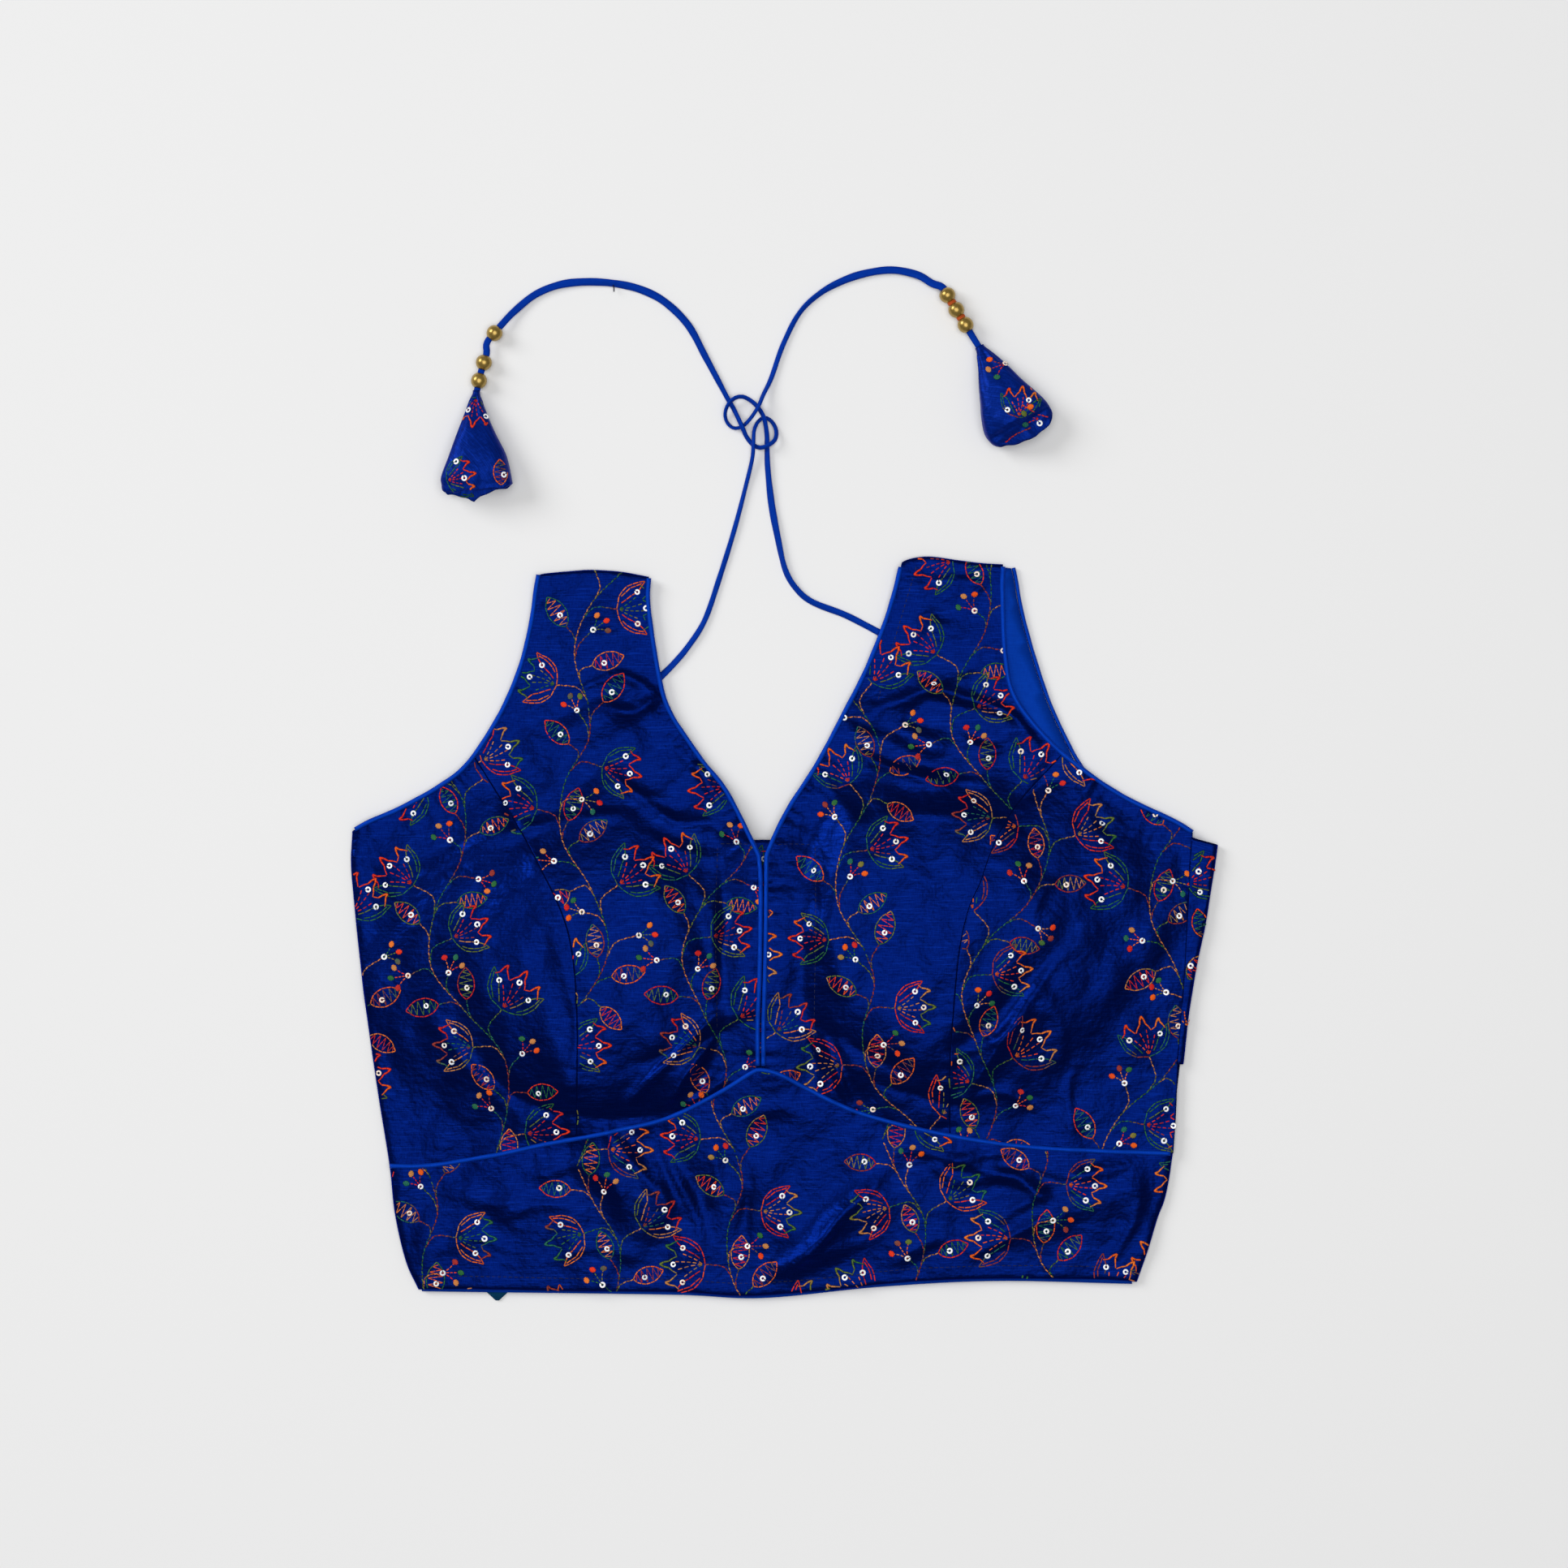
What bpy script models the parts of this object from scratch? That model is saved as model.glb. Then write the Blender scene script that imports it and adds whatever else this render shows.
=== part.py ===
"""Sleeveless choli blouse with tie cords, laid flat with its front up.

Run it with blender --background --python part.py, or from Blender's text editor.
The model is in metres with +Z up. Its origin is on the floor, under the middle of the blouse.
X runs across the front from the viewer's left to right, Y from the hem up to the shoulders.
Sizes and places below are in millimetres, and MM turns them into metres.
"""

import math

import bmesh
import bpy
import numpy as np
from mathutils import Vector

MM = 0.001

# Walls and gaps
BACK_WALL = 1.2
LINING_WALL = 1.0
FRONT_WALL = 1.4
UNDERLAP_WALL = 1.0
TAPE_WALL = 1.0
SEAM_GAP = 0.3
PIPING_RADIUS = 1.2
BACK_PIPING_RADIUS = 0.9
PIPING_CLEARANCE = 0.4
PIPING_STANDS_PROUD = 0.5

# Heights of the layers above the floor
LINING_BASE = BACK_WALL + SEAM_GAP
UNDERLAP_BASE = LINING_BASE + LINING_WALL + SEAM_GAP
FRONT_FACE = UNDERLAP_BASE + FRONT_WALL + 0.1

# Mesh steps
CLOTH_STEP = 9.5
BAND_STEP = 6.0
SEAM_STEP = 9.0
WAIST_STEP = 6.0
FINE_STEP = 0.5

# Cords, beads and cloth tassels
CORD_RADIUS = 1.2
CORD_LIES_AT = 1.27
BEAD_RADIUS = 4.2
BEAD_BORE_RADIUS = 1.6
BEAD_SIDES = 14
BEAD_RINGS = 6
TASSEL_SIDES = 16
MOUTH_DEPTH = 7.0
MOUTH_SHARE = 0.72

# Colours as red, green, blue, with roughness and metallic value
FINISHES = {
    "silk": ((0.010, 0.035, 0.330), 0.50, 0.0),
    "lining": ((0.012, 0.060, 0.520), 0.60, 0.0),
    "piping": ((0.012, 0.055, 0.500), 0.45, 0.0),
    "cord": ((0.010, 0.040, 0.400), 0.45, 0.0),
    "bead": ((0.480, 0.340, 0.110), 0.28, 1.0),
    "tape": ((0.010, 0.085, 0.190), 0.60, 0.0),
}

# Finished edges of the front, piping included, each from its low end to its high end: (x, y)
SIDE_LEFT = [(-189, -186.5), (-195.5, -172), (-201, -148.5), (-204, -122), (-211, -78), (-217.5, -31),
             (-222.5, 16), (-223.9, 34), (-223.3, 48)]
ARMHOLE_LEFT = [(-222, 52.5), (-213.5, 57), (-199.5, 63), (-178, 75), (-164, 86.5), (-148.5, 110),
                (-138, 133.5), (-132, 157), (-129.5, 174.5), (-128, 183)]
SHOULDER_LEFT = [(-129, 181.5), (-124, 183.5), (-108.5, 185), (-99, 185.5), (-84, 184.5), (-70.5, 182)]
NECK_LEFT = [(-15, 45), (-24, 63), (-31, 75), (-40.5, 86.5), (-49, 98.5), (-56.5, 110), (-61.5, 122),
             (-66, 145.5), (-69, 169), (-68.5, 181)]
NECK_RIGHT = [(-7.7, 45), (1.5, 63), (16.5, 86.5), (29, 110), (41, 133.5), (50.5, 157), (56, 174.5),
              (59, 187)]
SHOULDER_RIGHT = [(58, 187.5), (64.5, 191), (75, 192.4), (90, 190.5), (102, 189), (112.5, 188.3)]
ARMHOLE_RIGHT = [(211.5, 51), (201.5, 57), (176.5, 69), (156, 82.5), (137, 98.5), (120.5, 119.5),
                 (115.5, 140.5), (114, 173.5), (114.3, 187)]
SIDE_SEAM_RIGHT = [(201, -116), (202.4, -96), (203, -82), (203.5, -70), (204.9, -55), (206.5, -30),
                   (208.6, 8.5), (210.5, 40), (211.3, 52)]
BAND_SIDE_RIGHT = [(182.5, -182.5), (188, -166.5), (193, -150), (196.5, -141), (199, -130), (201, -116)]
HEM = [(-189, -186.5), (-153.5, -186.5), (-114, -187.5), (-57, -188), (-27, -190), (-11, -189.8),
       (25, -187), (50, -184), (76, -182), (110, -181), (160, -181.3), (182.5, -182.5)]

# Middles of the piping that is sewn into a seam: (x, y)
PLACKET_LEFT = [(-13.5, -70), (-13.5, -47), (-12.7, -27.5), (-12.1, 1.5), (-12.1, 25.5), (-13, 38)]
PLACKET_RIGHT = [(-10.6, -70), (-10.5, -47), (-9.9, -27.5), (-9.3, 1.5), (-9.2, 25.5), (-9, 38)]
WAIST = [(-203.5, -122.5), (-181.5, -122), (-151, -117), (-125, -111.5), (-99, -106.5), (-85, -103.5),
         (-60, -97.5), (-34, -84.5), (-17, -74), (-11.5, -72.3), (-1.5, -75), (12.5, -82.5), (35.5, -93.5),
         (59, -100.5), (85.5, -106.5), (121, -112), (160, -114.5), (199.5, -116)]

# Shaping seams from the waist up to the armhole: (x, y)
PRINCESS_LEFT = [(-107, -106.5), (-106, -78), (-106, -44.5), (-108, -15), (-113, 6.5), (-123.5, 29),
                 (-135, 49.5), (-148.5, 70.5), (-160, 89)]
PRINCESS_RIGHT = [(85.5, -106.5), (85.5, -65.5), (87.5, -32), (90.5, -6.5), (95, 12), (101, 25), (105.5, 38),
                  (111, 50), (120.5, 64.5), (139, 85)]

# Edges of the back, which lies on the floor: (x, y)
BACK_HEM = [(-187, -184.5), (-153.5, -185), (-57, -186.3), (-11, -188), (50, -182.2), (110, -179.2),
            (180, -180.7)]
BACK_SIDE_RIGHT = [(186, -166.5), (191.2, -150), (197, -130), (198.8, -116), (202.5, -90), (206, -60),
                   (210.5, -25), (217, 7), (221.6, 39), (220.8, 42.5)]
BACK_ARMHOLE_RIGHT = [(218, 44.5), (205, 50), (180, 61), (156, 78), (147.5, 92), (136.5, 115.5),
                      (128.5, 139), (122, 162.5), (118.8, 180), (117.5, 186.3)]
BACK_SHOULDER_RIGHT = [(112, 187), (90, 188.8), (75, 190.6), (64.5, 189), (61.5, 186)]
BACK_NECK = [(58.3, 174), (53, 157), (43.6, 133.5), (38, 108), (29, 72), (15, 35), (3, 14), (-11, 7),
             (-25, 14), (-37, 36), (-51, 74), (-60, 105), (-67.3, 130), (-70.5, 155), (-71.5, 172)]
BACK_SHOULDER_LEFT = [(-71.5, 180.3), (-84, 182.5), (-99, 183.5), (-108.5, 183), (-123, 181)]
BACK_ARMHOLE_LEFT = [(-126.5, 174), (-129.5, 157), (-135.5, 133.5), (-146, 110), (-162, 85), (-177, 72.5),
                     (-199, 60.5), (-221, 49)]
BACK_SIDE_LEFT = [(-222.2, 34), (-220.8, 16), (-215.8, -31), (-209.3, -78), (-202.3, -122), (-199.2, -148.5),
                  (-193.7, -172)]

# The back's cloth turned over the right edge up to the side seam: (y, x of the fold, x of the seam)
TURNED_EDGE = [(-70, 206.4, 203.7), (-55, 208.1, 205.1), (-25, 212.4, 207.0), (8, 219.0, 208.8),
               (28, 222.1, 210.1), (40, 223.9, 210.9)]
TURN_RADIUS = 2.2
TURN_WALL = 1.0

# Padded cups: middle, reach to each side of it, and rise (x, y, left, right, up, down, rise)
CUPS = [
    (-104.0, -12.0, (14.0, 120.0), (52.0, 88.0), (42.0, 86.0), (54.0, 98.0), 14.5),
    (64.0, 1.5, (36.0, 64.0), (24.0, 136.0), (40.0, 82.0), (54.0, 106.0), 15.5),
]
CUP_DOME = 0.16
BRIDGE = (-17.0, -12.0, 42.0, 52.0, 6.5)

# Largest folds, each a soft ridge or trough along a line (x0, y0, x1, y1, half width, rise)
FOLDS = [
    (-128.5, 111.0, -83.5, 130.5, 9.0, -2.2),
    (-128.0, 98.0, -76.0, 114.0, 10.0, 2.4),
    (-177.5, 35.5, -111.5, 55.0, 10.0, -2.6),
    (-30.5, 40.5, -30.5, -20.5, 8.0, -2.0),
    (-60.5, -84.0, -36.0, -46.0, 7.0, 3.6),
    (-69.5, -110.5, -41.5, -146.5, 9.0, -2.4),
    (-92.0, -116.0, -70.0, -150.0, 10.0, 2.8),
    (31.0, 99.5, 98.5, 72.0, 8.0, -2.6),
    (36.0, 110.0, 100.0, 86.0, 9.0, 2.4),
    (78.5, 111.0, 126.5, 105.5, 10.0, -2.6),
    (18.5, 46.5, 18.5, -15.0, 8.0, -2.2),
    (95.5, -62.5, 137.5, -18.0, 10.0, -3.4),
    (106.0, -70.0, 148.0, -28.0, 10.0, 2.6),
    (21.5, -43.5, 39.5, -77.0, 8.0, 3.0),
    (78.5, -124.0, 126.5, -129.5, 10.0, -2.6),
    (14.5, -163.5, 58.5, -137.0, 9.0, 3.2),
    (132.0, -152.0, 176.0, -134.0, 9.0, 2.8),
]

# The body's low crown and the lift over the placket's layers
CROWN_RISE = 4.0
CROWN_MIDDLE = (0.0, -45.0)
CROWN_REACH = (205.0, 135.0)
PLACKET_X = -11.2
PLACKET_LIFT = 1.3
PLACKET_FLAT = 11.0
PLACKET_FADE = 15.0
PLACKET_TOP_Y = 40.0

# Strip behind the placket, and the folded tape that peeps out under the hem: (x, y)
UNDERLAP = [(-20, -66), (-1.5, -66), (-1.5, 46), (-20, 46)]
HEM_TAPE = [(-156.5, -185.6), (-140.0, -185.6), (-147.4, -192.3), (-149.2, -192.3)]

# Cord routes from the neck edge to the tassel: (x, y, z, spacing of the tube's rings from there on)
CORD_LEFT = [
    (-64.8, 129.3, 1.27, 12), (-57.5, 136.5, 1.27, 12), (-49.5, 146, 1.27, 14), (-41, 159.5, 1.27, 16),
    (-33.5, 181, 1.27, 16), (-25.5, 207, 1.27, 12), (-19.5, 230, 1.35, 6), (-16.4, 243, 2.8, 3.5),
    (-15.8, 250.5, 4.1, 3.5), (-15.4, 257.5, 3.0, 3.5), (-13.4, 262.2, 1.6, 3.5), (-10, 264.3, 1.27, 3.5),
    (-6.3, 262.2, 1.27, 3.5), (-4, 257.5, 1.9, 3.5), (-4.7, 252.6, 3.2, 3.5), (-8.6, 249.5, 4.1, 3.5),
    (-12.4, 248.6, 2.8, 3.5), (-16, 250.2, 1.27, 3.5), (-19.2, 254, 1.8, 3.5), (-21.8, 259.7, 4.1, 3.5),
    (-24, 264.5, 3.2, 3.5), (-26.3, 269.3, 1.5, 4), (-29.5, 274.8, 1.27, 8), (-40.5, 295.5, 1.27, 14),
    (-49.5, 312, 1.27, 12), (-61.5, 324, 1.27, 12), (-74, 330.5, 1.27, 14), (-88, 333.7, 1.27, 14),
    (-102.5, 334.5, 1.27, 14), (-116, 333, 1.27, 12), (-128.5, 328, 1.4, 10), (-139, 319.5, 2.2, 6),
    (-145.8, 312.1, 3.7, 4.5), (-153.2, 303.1, 4.2, 4.5), (-153.6, 297.0, 4.2, 4.5),
    (-156.4, 287.7, 4.2, 4.5), (-158.7, 277.2, 4.0, 4),
]
CORD_RIGHT = [
    (50.2, 152.6, 1.27, 12), (42, 157, 1.27, 12), (31, 162.5, 1.27, 10), (14.5, 169, 1.27, 8),
    (6.2, 176, 1.27, 8), (0.5, 186, 1.27, 14), (-3.5, 203.5, 1.27, 16), (-6.5, 220, 1.27, 10),
    (-8.4, 238, 1.27, 5), (-8.8, 249.5, 1.27, 3.5), (-8.8, 254.5, 1.9, 3.5), (-9.4, 259.8, 3.4, 3.5),
    (-10.6, 264.6, 4.1, 3.5), (-13.4, 269.3, 3.1, 3.5), (-17.2, 273, 2.2, 3.5), (-21.4, 274.9, 3.2, 3.5),
    (-25.2, 274.2, 4.1, 3.5), (-28.6, 271.2, 3.9, 3.5), (-30.4, 266.6, 2.4, 3.5), (-29.5, 262, 1.5, 3.5),
    (-26.3, 259, 1.27, 3.5), (-21.8, 259.6, 1.27, 3.5), (-17.6, 263.3, 3.4, 3.5), (-13.4, 269.3, 5.9, 3.5),
    (-10.8, 275.6, 3.4, 5), (-6.5, 285, 1.35, 10), (-0.5, 302, 1.27, 10), (8, 318.4, 1.27, 8),
    (18.5, 328.5, 1.27, 12), (31, 335.3, 1.27, 14), (43.5, 339.2, 1.27, 14), (56.5, 340.6, 1.35, 12),
    (69, 338, 1.9, 8), (76.5, 333.5, 2.9, 6), (82.1, 331.0, 4.0, 4.5), (86.7, 323.4, 4.2, 4.5),
    (91.3, 315.8, 4.2, 4.5), (96.1, 307.9, 4.2, 4.5), (101.1, 299.9, 4.0, 4),
]

# Beads on each cord, counted from the knot: (x, y, direction x, direction y)
BEADS_LEFT = [(-149.5, 307.6, -7.4, -9.0), (-155.0, 292.4, -2.8, -9.3), (-157.5, 283.1, -2.2, -9.3)]
BEADS_RIGHT = [(84.4, 327.2, 4.6, -7.6), (89.0, 319.6, 4.6, -7.6), (93.7, 311.9, 4.8, -7.9)]

# Cloth tassels: apex, direction from it to the mouth, and sections along that (along, left, right, height)
TASSEL_LEFT = {
    "apex": (-158.9, 276.7),
    "towards": (0.0, -1.0),
    "sections": [(0, 1.9, 1.9, 7.0), (6.5, 3.9, 4.2, 8.5), (14, 7.0, 6.8, 11.0),
                 (22, 10.8, 10.0, 13.5), (31, 15.8, 13.6, 16.0), (39, 18.0, 16.8, 17.0),
                 (46, 17.6, 19.2, 16.0), (50.5, 14.0, 17.0, 13.0)],
}
TASSEL_RIGHT = {
    "apex": (101.3, 299.6),
    "towards": (0.485, -0.874),
    "sections": [(0, 2.6, 2.2, 7.0), (8, 5.9, 5.9, 9.5), (16, 8.6, 9.9, 12.5),
                 (25, 11.2, 14.0, 15.0), (32, 13.4, 17.4, 16.5), (39.5, 15.8, 19.7, 17.0),
                 (46, 16.2, 18.0, 15.5), (50.5, 11.5, 13.5, 12.0)],
}


def smooth_line(points, step=FINE_STEP):
    """A smooth curve through the points, as an array of points that lie a step apart."""
    given = np.array(points, float)
    ends = np.vstack([2 * given[0] - given[1], given, 2 * given[-1] - given[-2]])
    made = []
    for i in range(len(given) - 1):
        a, b, c, d = ends[i:i + 4]
        count = max(2, int(np.linalg.norm((c - b)[:2]) / step))
        t = (np.arange(count) / count)[:, None]
        made.append(0.5 * (2 * b + (c - a) * t + (2 * a - 5 * b + 4 * c - d) * t**2
                           + (3 * b - a - 3 * c + d) * t**3))
    return np.vstack(made + [given[-1:]])


def travel(line):
    """Distance along the line at each of its points."""
    return np.concatenate([[0.0], np.cumsum(np.linalg.norm(np.diff(line, axis=0), axis=1))])


def at(line, distances):
    """Points of the line at these distances along it."""
    along = travel(line)
    return np.stack([np.interp(distances, along, line[:, i]) for i in range(line.shape[1])], axis=1)


def even(line, step):
    """The line with its points about a step apart."""
    length = travel(line)[-1]
    return at(line, np.linspace(0, length, max(2, round(length / step) + 1)))


def shifted(line, distance):
    """The line moved sideways, to the left of its direction where the distance is positive."""
    run = np.gradient(line, axis=0)
    run /= np.linalg.norm(run, axis=1)[:, None]
    return line + distance * np.stack([-run[:, 1], run[:, 0]], axis=1)


def extended(line, reach):
    """The line carried straight on at both ends."""
    first = line[0] - line[4]
    last = line[-1] - line[-5]
    start = line[0] + reach * first / np.linalg.norm(first)
    end = line[-1] + reach * last / np.linalg.norm(last)
    return even(np.vstack([start, line, end]), FINE_STEP)


def crossing(one, other):
    """Where the first line meets the second: its distance along each, and the point."""
    apart = np.linalg.norm(one[:, None] - other[None], axis=2)
    i, j = np.unravel_index(apart.argmin(), apart.shape)
    return travel(one)[i], travel(other)[j], (one[i] + other[j]) / 2


def between(line, start, end, first, last):
    """The stretch of the line from start to end, with its end points set."""
    piece = at(line, np.linspace(start, end, max(8, int(abs(end - start) / FINE_STEP))))
    piece[0], piece[-1] = first, last
    return piece


def four_sides(bottom, top, left, right):
    """The four edges of a panel, each trimmed where it meets the next."""
    b0, l0, low_left = crossing(bottom, left)
    b1, r0, low_right = crossing(bottom, right)
    t0, l1, high_left = crossing(top, left)
    t1, r1, high_right = crossing(top, right)
    return (
        between(bottom, b0, b1, low_left, low_right),
        between(top, t0, t1, high_left, high_right),
        between(left, l0, l1, low_left, high_left),
        between(right, r0, r1, low_right, high_right),
    )


def shares_by_height(edge):
    """How far up each point of a side edge lies, from 0 to 1."""
    rise = np.maximum.accumulate(edge[:, 1])
    rise = rise + np.linspace(0, 1e-3, len(rise))
    return (rise - rise[0]) / (rise[-1] - rise[0])


def shares_by_length(edge):
    """How far along each point of an edge lies, from 0 to 1."""
    along = travel(edge)
    return along / along[-1]


def read_edge(edge, shares, wanted):
    return np.stack([np.interp(wanted, shares, edge[:, i]) for i in range(2)], axis=-1)


def patch(sides, u, v):
    """Points of the panel inside its four edges, for shares u across it and v up it."""
    bottom, top, left, right = sides
    low = read_edge(bottom, shares_by_length(bottom), u)
    high = read_edge(top, shares_by_length(top), u)
    near = read_edge(left, shares_by_height(left), v)
    far = read_edge(right, shares_by_height(right), v)
    u, v = u[..., None], v[..., None]
    corners = ((1 - u) * (1 - v) * bottom[0] + u * (1 - v) * bottom[-1]
               + (1 - u) * v * top[0] + u * v * top[-1])
    return (1 - v) * low + v * high + (1 - u) * near + u * far - corners


def smooth_step(t):
    t = np.clip(t, 0, 1)
    return t * t * (3 - 2 * t)


def cup_rise(x, y):
    """How far the padded cups lift the cloth, with the low bridge of cloth between them."""
    bridge_x, bridge_y, wide, tall, height = BRIDGE
    cubes = (height * np.exp(-((x - bridge_x) / wide) ** 2 - ((y - bridge_y) / tall) ** 2)) ** 3
    for cx, cy, left, right, up, down, height in CUPS:
        across, along = x - cx + 1e-4, y - cy + 1e-4
        flat, foot = [np.hypot(across / np.where(across < 0, left[k], right[k]),
                               along / np.where(along < 0, down[k], up[k])) for k in (0, 1)]
        fall = smooth_step((flat - 1) / (flat / foot - 1))
        cubes += (height * np.maximum(1 - (1 - CUP_DOME) * fall - CUP_DOME * foot**2, 0)) ** 3
    return np.cbrt(cubes)


def fold_rise(x, y, folds):
    """The ridges and troughs of the folds, each fading towards its ends."""
    rise = np.zeros_like(x)
    for x0, y0, x1, y1, half_width, height in folds:
        length = math.hypot(x1 - x0, y1 - y0)
        along = ((x - x0) * (x1 - x0) + (y - y0) * (y1 - y0)) / length**2
        beside = ((x - x0) * (y1 - y0) - (y - y0) * (x1 - x0)) / length
        past = np.maximum(0, np.abs(along - 0.5) - 0.5) * length
        taper = 1 - 0.35 * (2 * np.clip(along, 0, 1) - 1) ** 2
        rise += height * taper * np.exp(-(beside**2 + past**2) / half_width**2)
    return rise


def front_height(x, y):
    """Height of the front's upper face above the floor."""
    crown = np.clip(1 - ((x - CROWN_MIDDLE[0]) / CROWN_REACH[0]) ** 2, 0, 1)
    crown *= np.clip(1 - ((y - CROWN_MIDDLE[1]) / CROWN_REACH[1]) ** 2, 0, 1)
    lift = smooth_step((PLACKET_FLAT + PLACKET_FADE - np.abs(x - PLACKET_X)) / PLACKET_FADE)
    lift *= smooth_step((PLACKET_TOP_Y + 25 - y) / 20) * smooth_step((y + 105) / 25)
    free = CROWN_RISE * crown + cup_rise(x, y) + fold_rise(x, y, FOLDS)
    return FRONT_FACE + np.maximum(PLACKET_LIFT * lift, 0.0) + np.maximum(free, 0.0)


def material(finish):
    found = bpy.data.materials.get(finish)
    if found:
        return found
    colour, roughness, metallic = FINISHES[finish]
    made = bpy.data.materials.new(finish)
    made.use_nodes = True
    shader = made.node_tree.nodes["Principled BSDF"]
    shader.inputs["Base Color"].default_value = (*colour, 1.0)
    shader.inputs["Roughness"].default_value = roughness
    shader.inputs["Metallic"].default_value = metallic
    made.diffuse_color = (*colour, 1.0)
    return made


def add_object(name, data, finish, collection):
    obj = bpy.data.objects.new(name, data)
    collection.objects.link(obj)
    data.materials.append(material(finish))
    return obj


def add_panel(name, sides, step, finish, collection):
    """A cloth panel of the front: a grid laid inside its four edges, with a wall's thickness."""
    bottom, top, left, right = sides
    across = max(travel(bottom)[-1], travel(top)[-1])
    upwards = max(travel(left)[-1], travel(right)[-1])
    columns, rows = max(2, round(across / step)), max(2, round(upwards / CLOTH_STEP))
    mesh = bmesh.new()
    bmesh.ops.create_grid(mesh, x_segments=columns, y_segments=rows, size=0.5)
    shares = np.array([(v.co.x + 0.5, v.co.y + 0.5) for v in mesh.verts])
    flat = patch(sides, shares[:, 0], shares[:, 1])
    tall = front_height(flat[:, 0], flat[:, 1])
    for vertex, (x, y), z in zip(mesh.verts, flat, tall):
        vertex.co = Vector((x, y, z)) * MM
    data = bpy.data.meshes.new(name)
    mesh.to_mesh(data)
    mesh.free()
    panel = add_object(name, data, finish, collection)
    cloth = panel.modifiers.new("Cloth wall", "SOLIDIFY")
    cloth.thickness = FRONT_WALL * MM
    cloth.offset = -1
    cloth.use_even_offset = True
    data.shade_smooth()
    return panel


def add_sheet(name, outline, base, wall, finish, collection):
    """A flat sheet of cloth: a filled outline with a wall's thickness, its lower face at the base."""
    data = bpy.data.curves.new(name, "CURVE")
    data.dimensions = "2D"
    data.fill_mode = "BOTH"
    data.extrude = wall / 2 * MM
    spline = data.splines.new("POLY")
    spline.points.add(len(outline) - 1)
    for point, (x, y) in zip(spline.points, outline):
        point.co = (x * MM, y * MM, 0, 1)
    spline.use_cyclic_u = True
    sheet = add_object(name, data, finish, collection)
    sheet.location.z = (base + wall / 2) * MM
    return sheet


def add_tube(name, line, radius, sides, finish, collection):
    """A round piping or cord along a line of (x, y, z) points."""
    data = bpy.data.curves.new(name, "CURVE")
    data.dimensions = "3D"
    data.bevel_depth = radius * MM
    data.bevel_resolution = sides // 2 - 2
    data.use_fill_caps = True
    spline = data.splines.new("POLY")
    spline.points.add(len(line) - 1)
    for point, (x, y, z) in zip(spline.points, line):
        point.co = (x * MM, y * MM, z * MM, 1)
    return add_object(name, data, finish, collection)


def as_mesh(obj):
    """The curve object made a mesh with its caps welded, in the same collection."""
    graph = bpy.context.evaluated_depsgraph_get()
    data = bpy.data.meshes.new_from_object(obj.evaluated_get(graph))
    welded = bmesh.new()
    welded.from_mesh(data)
    bmesh.ops.remove_doubles(welded, verts=welded.verts, dist=1e-6)
    welded.to_mesh(data)
    welded.free()
    name, place, collection = obj.name, obj.matrix_world.copy(), obj.users_collection[0]
    bpy.data.objects.remove(obj)
    made = bpy.data.objects.new(name, data)
    collection.objects.link(made)
    made.matrix_world = place
    return made


def on_front(line):
    """The line raised to where piping lies in the front's edge."""
    raised = front_height(line[:, 0], line[:, 1]) - FRONT_WALL / 2 + PIPING_STANDS_PROUD
    return np.column_stack([line, raised])


def piped_edges():
    """Lines that the front's panels and their piping share, keyed by name."""
    r = PIPING_RADIUS
    neck_left = np.vstack([smooth_line(PLACKET_LEFT), shifted(smooth_line(NECK_LEFT), r)[6:]])
    neck_right = np.vstack([smooth_line(PLACKET_RIGHT), shifted(smooth_line(NECK_RIGHT), -r)[6:]])
    return {
        "neck_left": even(neck_left, FINE_STEP),
        "neck_right": even(neck_right, FINE_STEP),
        "armhole_left": shifted(smooth_line(ARMHOLE_LEFT), -r),
        "armhole_right": shifted(smooth_line(ARMHOLE_RIGHT), r),
        "waist": smooth_line(WAIST),
    }


def joined(low, high):
    """One line that runs up the first and, from where they meet, on up the second."""
    a, b, corner = crossing(low, high)
    return even(np.vstack([at(low, np.arange(0, a - 1, FINE_STEP)), corner,
                           at(high, np.arange(b + 1, travel(high)[-1], FINE_STEP))]), FINE_STEP)


def front_panels(lines):
    """The four edges of each front panel, keyed by the panel's name."""
    beside = PIPING_RADIUS + PIPING_CLEARANCE
    half = SEAM_GAP / 2 + 0.05
    reach = 8.0
    over_waist = extended(shifted(lines["waist"], beside), reach)
    under_waist = extended(shifted(lines["waist"], -beside), reach)
    neck_left = extended(shifted(lines["neck_left"], beside), reach)
    neck_right = extended(shifted(lines["neck_right"], -beside), reach)
    hole_left = extended(shifted(lines["armhole_left"], -beside), reach)
    hole_right = extended(shifted(lines["armhole_right"], beside), reach)
    princess_left = extended(smooth_line(PRINCESS_LEFT), 2 * reach)
    princess_right = extended(smooth_line(PRINCESS_RIGHT), 2 * reach)
    side_left = extended(smooth_line(SIDE_LEFT), reach)
    side_right = extended(smooth_line(SIDE_SEAM_RIGHT), reach)
    return {
        "front_side_left": four_sides(over_waist, hole_left, side_left, shifted(princess_left, half)),
        "front_centre_left": four_sides(
            over_waist, extended(smooth_line(SHOULDER_LEFT), reach),
            joined(shifted(princess_left, -half), hole_left), neck_left),
        "front_centre_right": four_sides(
            over_waist, extended(smooth_line(SHOULDER_RIGHT), reach),
            neck_right, joined(shifted(princess_right, half), hole_right)),
        "front_side_right": four_sides(
            over_waist, hole_right[::-1], shifted(princess_right, -half), side_right),
        "front_band": four_sides(
            extended(smooth_line(HEM), reach), under_waist, side_left,
            extended(smooth_line(BAND_SIDE_RIGHT), reach)),
    }


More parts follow.
